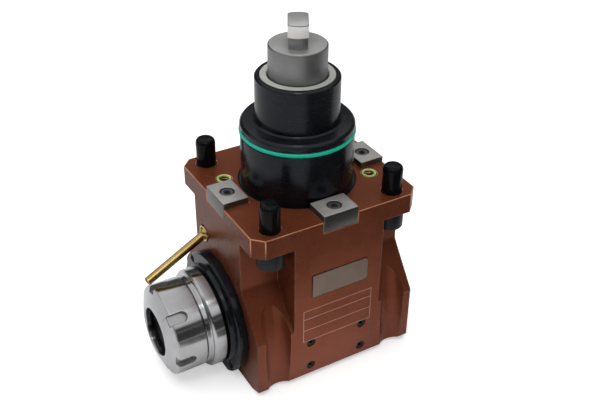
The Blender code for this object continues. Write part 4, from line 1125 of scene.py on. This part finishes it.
def coolant_parts():
    """The ports' rings, and the nozzle: a ball with a pipe, aimed from its socket at the nozzle's tip."""
    for name, side in (("back", 1), ("front", -1)):
        ring = torus(PORT_RING_R, PORT_RING_SECTION_R, 0, MEDIUM, 16)
        moved(ring, place(side * PORT_X, side * PORT_Y, FLANGE_TOP - PORT_RING_SUNK))
        piece(f"port_ring_{name}", ring, "housing", PALE, [f"port_seal_{name}"])
    seat = [
        (BALL_LIP_R, NOZZLE_SEAT_FRONT), (BALL_LIP_R, 1.4), (BALL_ROOM_R, 0.6), (BALL_ROOM_R, -3.0),
        (NOZZLE_SEAT_BORE_R, -4.6), (NOZZLE_SEAT_BORE_R, NOZZLE_SEAT_BACK), (NOZZLE_SEAT_R, NOZZLE_SEAT_BACK),
        (NOZZLE_SEAT_R, NOZZLE_SEAT_FRONT - 0.3), (NOZZLE_SEAT_R - 0.3, NOZZLE_SEAT_FRONT),
    ]
    socket_ring = moved(turned(seat, MEDIUM, 0.15, True), place(-PORT_X, -BALL_FORWARD, CHANNEL_Z, 90, "X"))
    piece("nozzle_socket", socket_ring, "nozzle_seat", BRASS, ["nozzle_seat"])
    pivot = Vector((-PORT_X, -BALL_FORWARD, CHANNEL_Z))
    reach = Vector(NOZZLE_TIP) - pivot
    tip = reach.length
    last = pi - asin(PIPE_R / BALL_R)
    angles = [last * k / BALL_STEPS for k in range(BALL_STEPS + 1)]
    profile = [(BALL_R * sin(a), -BALL_R * cos(a)) for a in angles]
    profile += [
        (PIPE_R, tip - 0.4), (PIPE_R - 0.3, tip), (PIPE_BORE_R + 0.1, tip), (PIPE_BORE_R, tip - 0.3),
        (PIPE_BORE_R, PIPE_BORE_FLOOR), (0, PIPE_BORE_FLOOR),
    ]
    aim = Matrix.Translation(pivot * MM) @ reach.to_track_quat("Z", "Y").to_matrix().to_4x4()
    piece("nozzle_pipe", moved(turned(profile, MEDIUM), aim), "nozzle_tube", BRASS, ["nozzle_tube"])


def grub(radius, length, across, depth):
    """A headless socket screw with its face at height 0."""
    profile = [(0, -length), (radius, -length), (radius, 0), (0, 0)]
    return carved(turned(profile, SMALL, 0.35), [hexagon(across, -depth, 1)])


def plate_and_plugs():
    bm = block(PLATE_X, PLATE_Y, PLATE_Z)
    through = [e for e in bm.edges if abs(e.verts[0].co.x - e.verts[1].co.x) > MERGE]
    rounded = [e for e in through if e.verts[0].co.y > 0]
    plate = bevelled(bm, PLATE_ROUND, 10, rounded)
    piece("bare_plate", plate, "housing", PLATE, ["blank_plate"], 0.12)
    for number, (y, z) in enumerate(SIDE_PLUGS, 1):
        plug = moved(grub(**SIDE_GRUB), place(HALF_X - SIDE_GRUB_SUNK, y, z, 90, "Y"))
        name = f"side_grub_screw_{number}"
        piece(name, plug, "housing", SLATE, [f"side_plug_{number}"])
    plug = moved(grub(**CHANNEL_GRUB), place(PORT_X, HALF_Y - CHANNEL_GRUB_SUNK, CHANNEL_Z, -90, "X"))
    piece("channel_grub_screw", plug, "housing", SLATE, ["channel_plug"])


def engraved_table():
    """An empty table of fine lines under the plate."""
    half = LINE_W / 2
    low = HALF_X - LINE_SUNK
    lines = [block((low, HALF_X + ROW_RISE), TABLE_Y, (z - half, z + half)) for z in TABLE_ROWS]
    for y in TABLE_Y:
        lines.append(block((low, HALF_X + SIDE_RISE), (y - half, y + half), (TABLE_ROWS[-1], TABLE_ROWS[0])))
    piece("engraved_table_lines", joined(lines), "housing", MARKED, ())


def inner_parts():
    """The bearings, the gears and the lock nut keep their solids and get a finish."""
    for name, made in frame["nodes"].items():
        look = None
        if "bearing_" in name and "cover" not in name:
            look = BEARING
        elif name in ("drive_gear", "spindle_gear"):
            look = GEAR
        elif name == "spindle_lock_nut":
            look = SLATE
        if look:
            made.data.materials.clear()
            made.data.materials.append(look)


# Room, lights and camera: the floor and the lamps are in metres, the card and the camera in millimetres

FLOOR_HALF = 4.0
FLOOR_GREY = 0.82
FLOOR_NEAR = (0.3, 0.5)
FLOOR_FAR = (1.2, 1.05)
FLOOR_MIRRORED = 0.05
FILL_LIGHT = (0.03, 0.03, 0.032)
SKY_DARK = [(0.0, 0.06), (0.25, 0.05), (0.345, 0.06), (0.36, 0.5), (0.375, 0.06), (0.5, 0.07)]
SKY_BRIGHT = [(0.54, 0.7), (0.68, 0.9), (1.0, 0.78)]
MIDDLE = (0, 0, 0.09)
CARD_X = (150, 870)
CARD_Y = (-60, 610)
CARD_Z = (2, 3)
LENS = 54.26
SENSOR = 36.0
CAMERA_AT = (445.6, -259.8, 448.3)
CAMERA_TURN = (56.598, -0.494, 59.835)


def room():
    """A pale floor, a little greyer round the part, with hardly any glow of its own in reflections."""
    bm = bmesh.new()
    bmesh.ops.create_grid(bm, x_segments=1, y_segments=1, size=FLOOR_HALF)
    floor = object_of("floor", bm)
    paint = bpy.data.materials.new("pale_floor")
    paint.use_nodes = True
    tree = paint.node_tree
    shader = tree.nodes["Principled BSDF"]
    shader.inputs["Base Color"].default_value = (FLOOR_GREY, FLOOR_GREY, FLOOR_GREY, 1)
    shader.inputs["Roughness"].default_value = 0.6
    shader.inputs["Specular IOR Level"].default_value = 0.15
    shader.inputs["Emission Color"].default_value = (1, 1, 1, 1)
    path = node(tree, "ShaderNodeLightPath")
    where = node(tree, "ShaderNodeTexCoord")
    away = node(tree, "ShaderNodeVectorMath", operation="LENGTH")
    tree.links.new(where.outputs["Object"], away.inputs[0])
    near, near_glow = FLOOR_NEAR
    far, far_glow = FLOOR_FAR
    faded = spread(tree, away.outputs["Value"], near, far, near_glow, far_glow)
    direct = math_node(tree, "MULTIPLY", path.outputs["Is Camera Ray"], faded)
    mirrored = math_node(tree, "MAXIMUM", path.outputs["Is Glossy Ray"], path.outputs["Is Transmission Ray"])
    glow = math_node(tree, "ADD", direct, math_node(tree, "MULTIPLY", mirrored, FLOOR_MIRRORED))
    tree.links.new(glow, shader.inputs["Emission Strength"])
    floor.data.materials.append(paint)


def world():
    """White to the camera, a faint fill light, and in reflections a sky that is bright from 30 degrees up."""
    sky = bpy.data.worlds.new("studio")
    bpy.context.scene.world = sky
    sky.use_nodes = True
    tree = sky.node_tree
    path = node(tree, "ShaderNodeLightPath")
    where = node(tree, "ShaderNodeTexCoord")
    parts = node(tree, "ShaderNodeSeparateXYZ")
    tree.links.new(where.outputs["Generated"], parts.inputs[0])
    ramp = node(tree, "ShaderNodeValToRGB")
    tree.links.new(parts.outputs[2], ramp.inputs[0])
    stops = SKY_DARK + SKY_BRIGHT
    while len(ramp.color_ramp.elements) < len(stops):
        ramp.color_ramp.elements.new(0.5)
    for element, (height, grey) in zip(ramp.color_ramp.elements, stops):
        element.position = height
        element.color = (grey, grey, grey, 1)
    lit = blend(tree, path.outputs["Is Glossy Ray"], FILL_LIGHT, ramp.outputs["Color"])
    seen = math_node(tree, "MAXIMUM", path.outputs["Is Camera Ray"], path.outputs["Is Transmission Ray"])
    tree.links.new(blend(tree, seen, lit, (1, 1, 1)), tree.nodes["Background"].inputs["Color"])


def dark_card():
    """A black card lying near the part, which only reflections show. It gives polished metal dark bands."""
    card = object_of("right_black_card", block(CARD_X, CARD_Y, CARD_Z))
    paint = bpy.data.materials.new("right_black_card")
    paint.use_nodes = True
    paint.node_tree.nodes["Principled BSDF"].inputs["Base Color"].default_value = (0.02, 0.02, 0.02, 1)
    card.data.materials.append(paint)
    card.visible_camera = False
    card.visible_diffuse = False
    card.visible_shadow = False
    card.visible_transmission = False


def lamp(name, at, target, size, power, mirrored=True):
    """A rectangular lamp aimed at a point. Places and sizes are metres, the power is watts."""
    light = bpy.data.lights.new(name, "AREA")
    light.shape = "RECTANGLE"
    light.size, light.size_y = size
    light.energy = power
    made = bpy.data.objects.new(name, light)
    made.location = at
    made.rotation_euler = (Vector(target) - Vector(at)).to_track_quat("-Z", "Y").to_euler()
    made.visible_camera = False
    made.visible_glossy = mirrored
    bpy.context.collection.objects.link(made)


def lights():
    lamp("overhead_softbox", (-0.1, -0.1, 1.35), MIDDLE, (2.2, 2.0), 28, False)
    lamp("left_softbox", (-0.6, -1.2, 0.6), MIDDLE, (0.9, 0.7), 1.1)
    lamp("right_softbox", (1.0, 0.1, 0.25), MIDDLE, (0.7, 0.35), 0.3, False)
    lamp("small_bright_lamp", (0.54, -0.3, 1.2), (0.03, -0.02, 0.15), (0.3, 0.2), 1.3)
    lamp("low_reflector", (0.115, -0.01, 0.004), (0.06, -0.01, 0.12), (0.07, 0.12), 0.13, False)


def camera():
    lens = bpy.data.cameras.new("camera")
    lens.sensor_width = SENSOR
    lens.lens = LENS
    made = bpy.data.objects.new("camera", lens)
    made.location = Vector(CAMERA_AT) * MM
    made.rotation_euler = Euler([radians(a) for a in CAMERA_TURN])
    bpy.context.collection.objects.link(made)
    bpy.context.scene.camera = made


bpy.context.scene.view_settings.view_transform = "Standard"
housing()
shank()
drive_shaft()
spindle()
clamp_nut()
bearing_cover()
rear_cover()
keys()
mounting_screws()
coolant_parts()
plate_and_plugs()
engraved_table()
inner_parts()
room()
world()
dark_card()
lights()
camera()
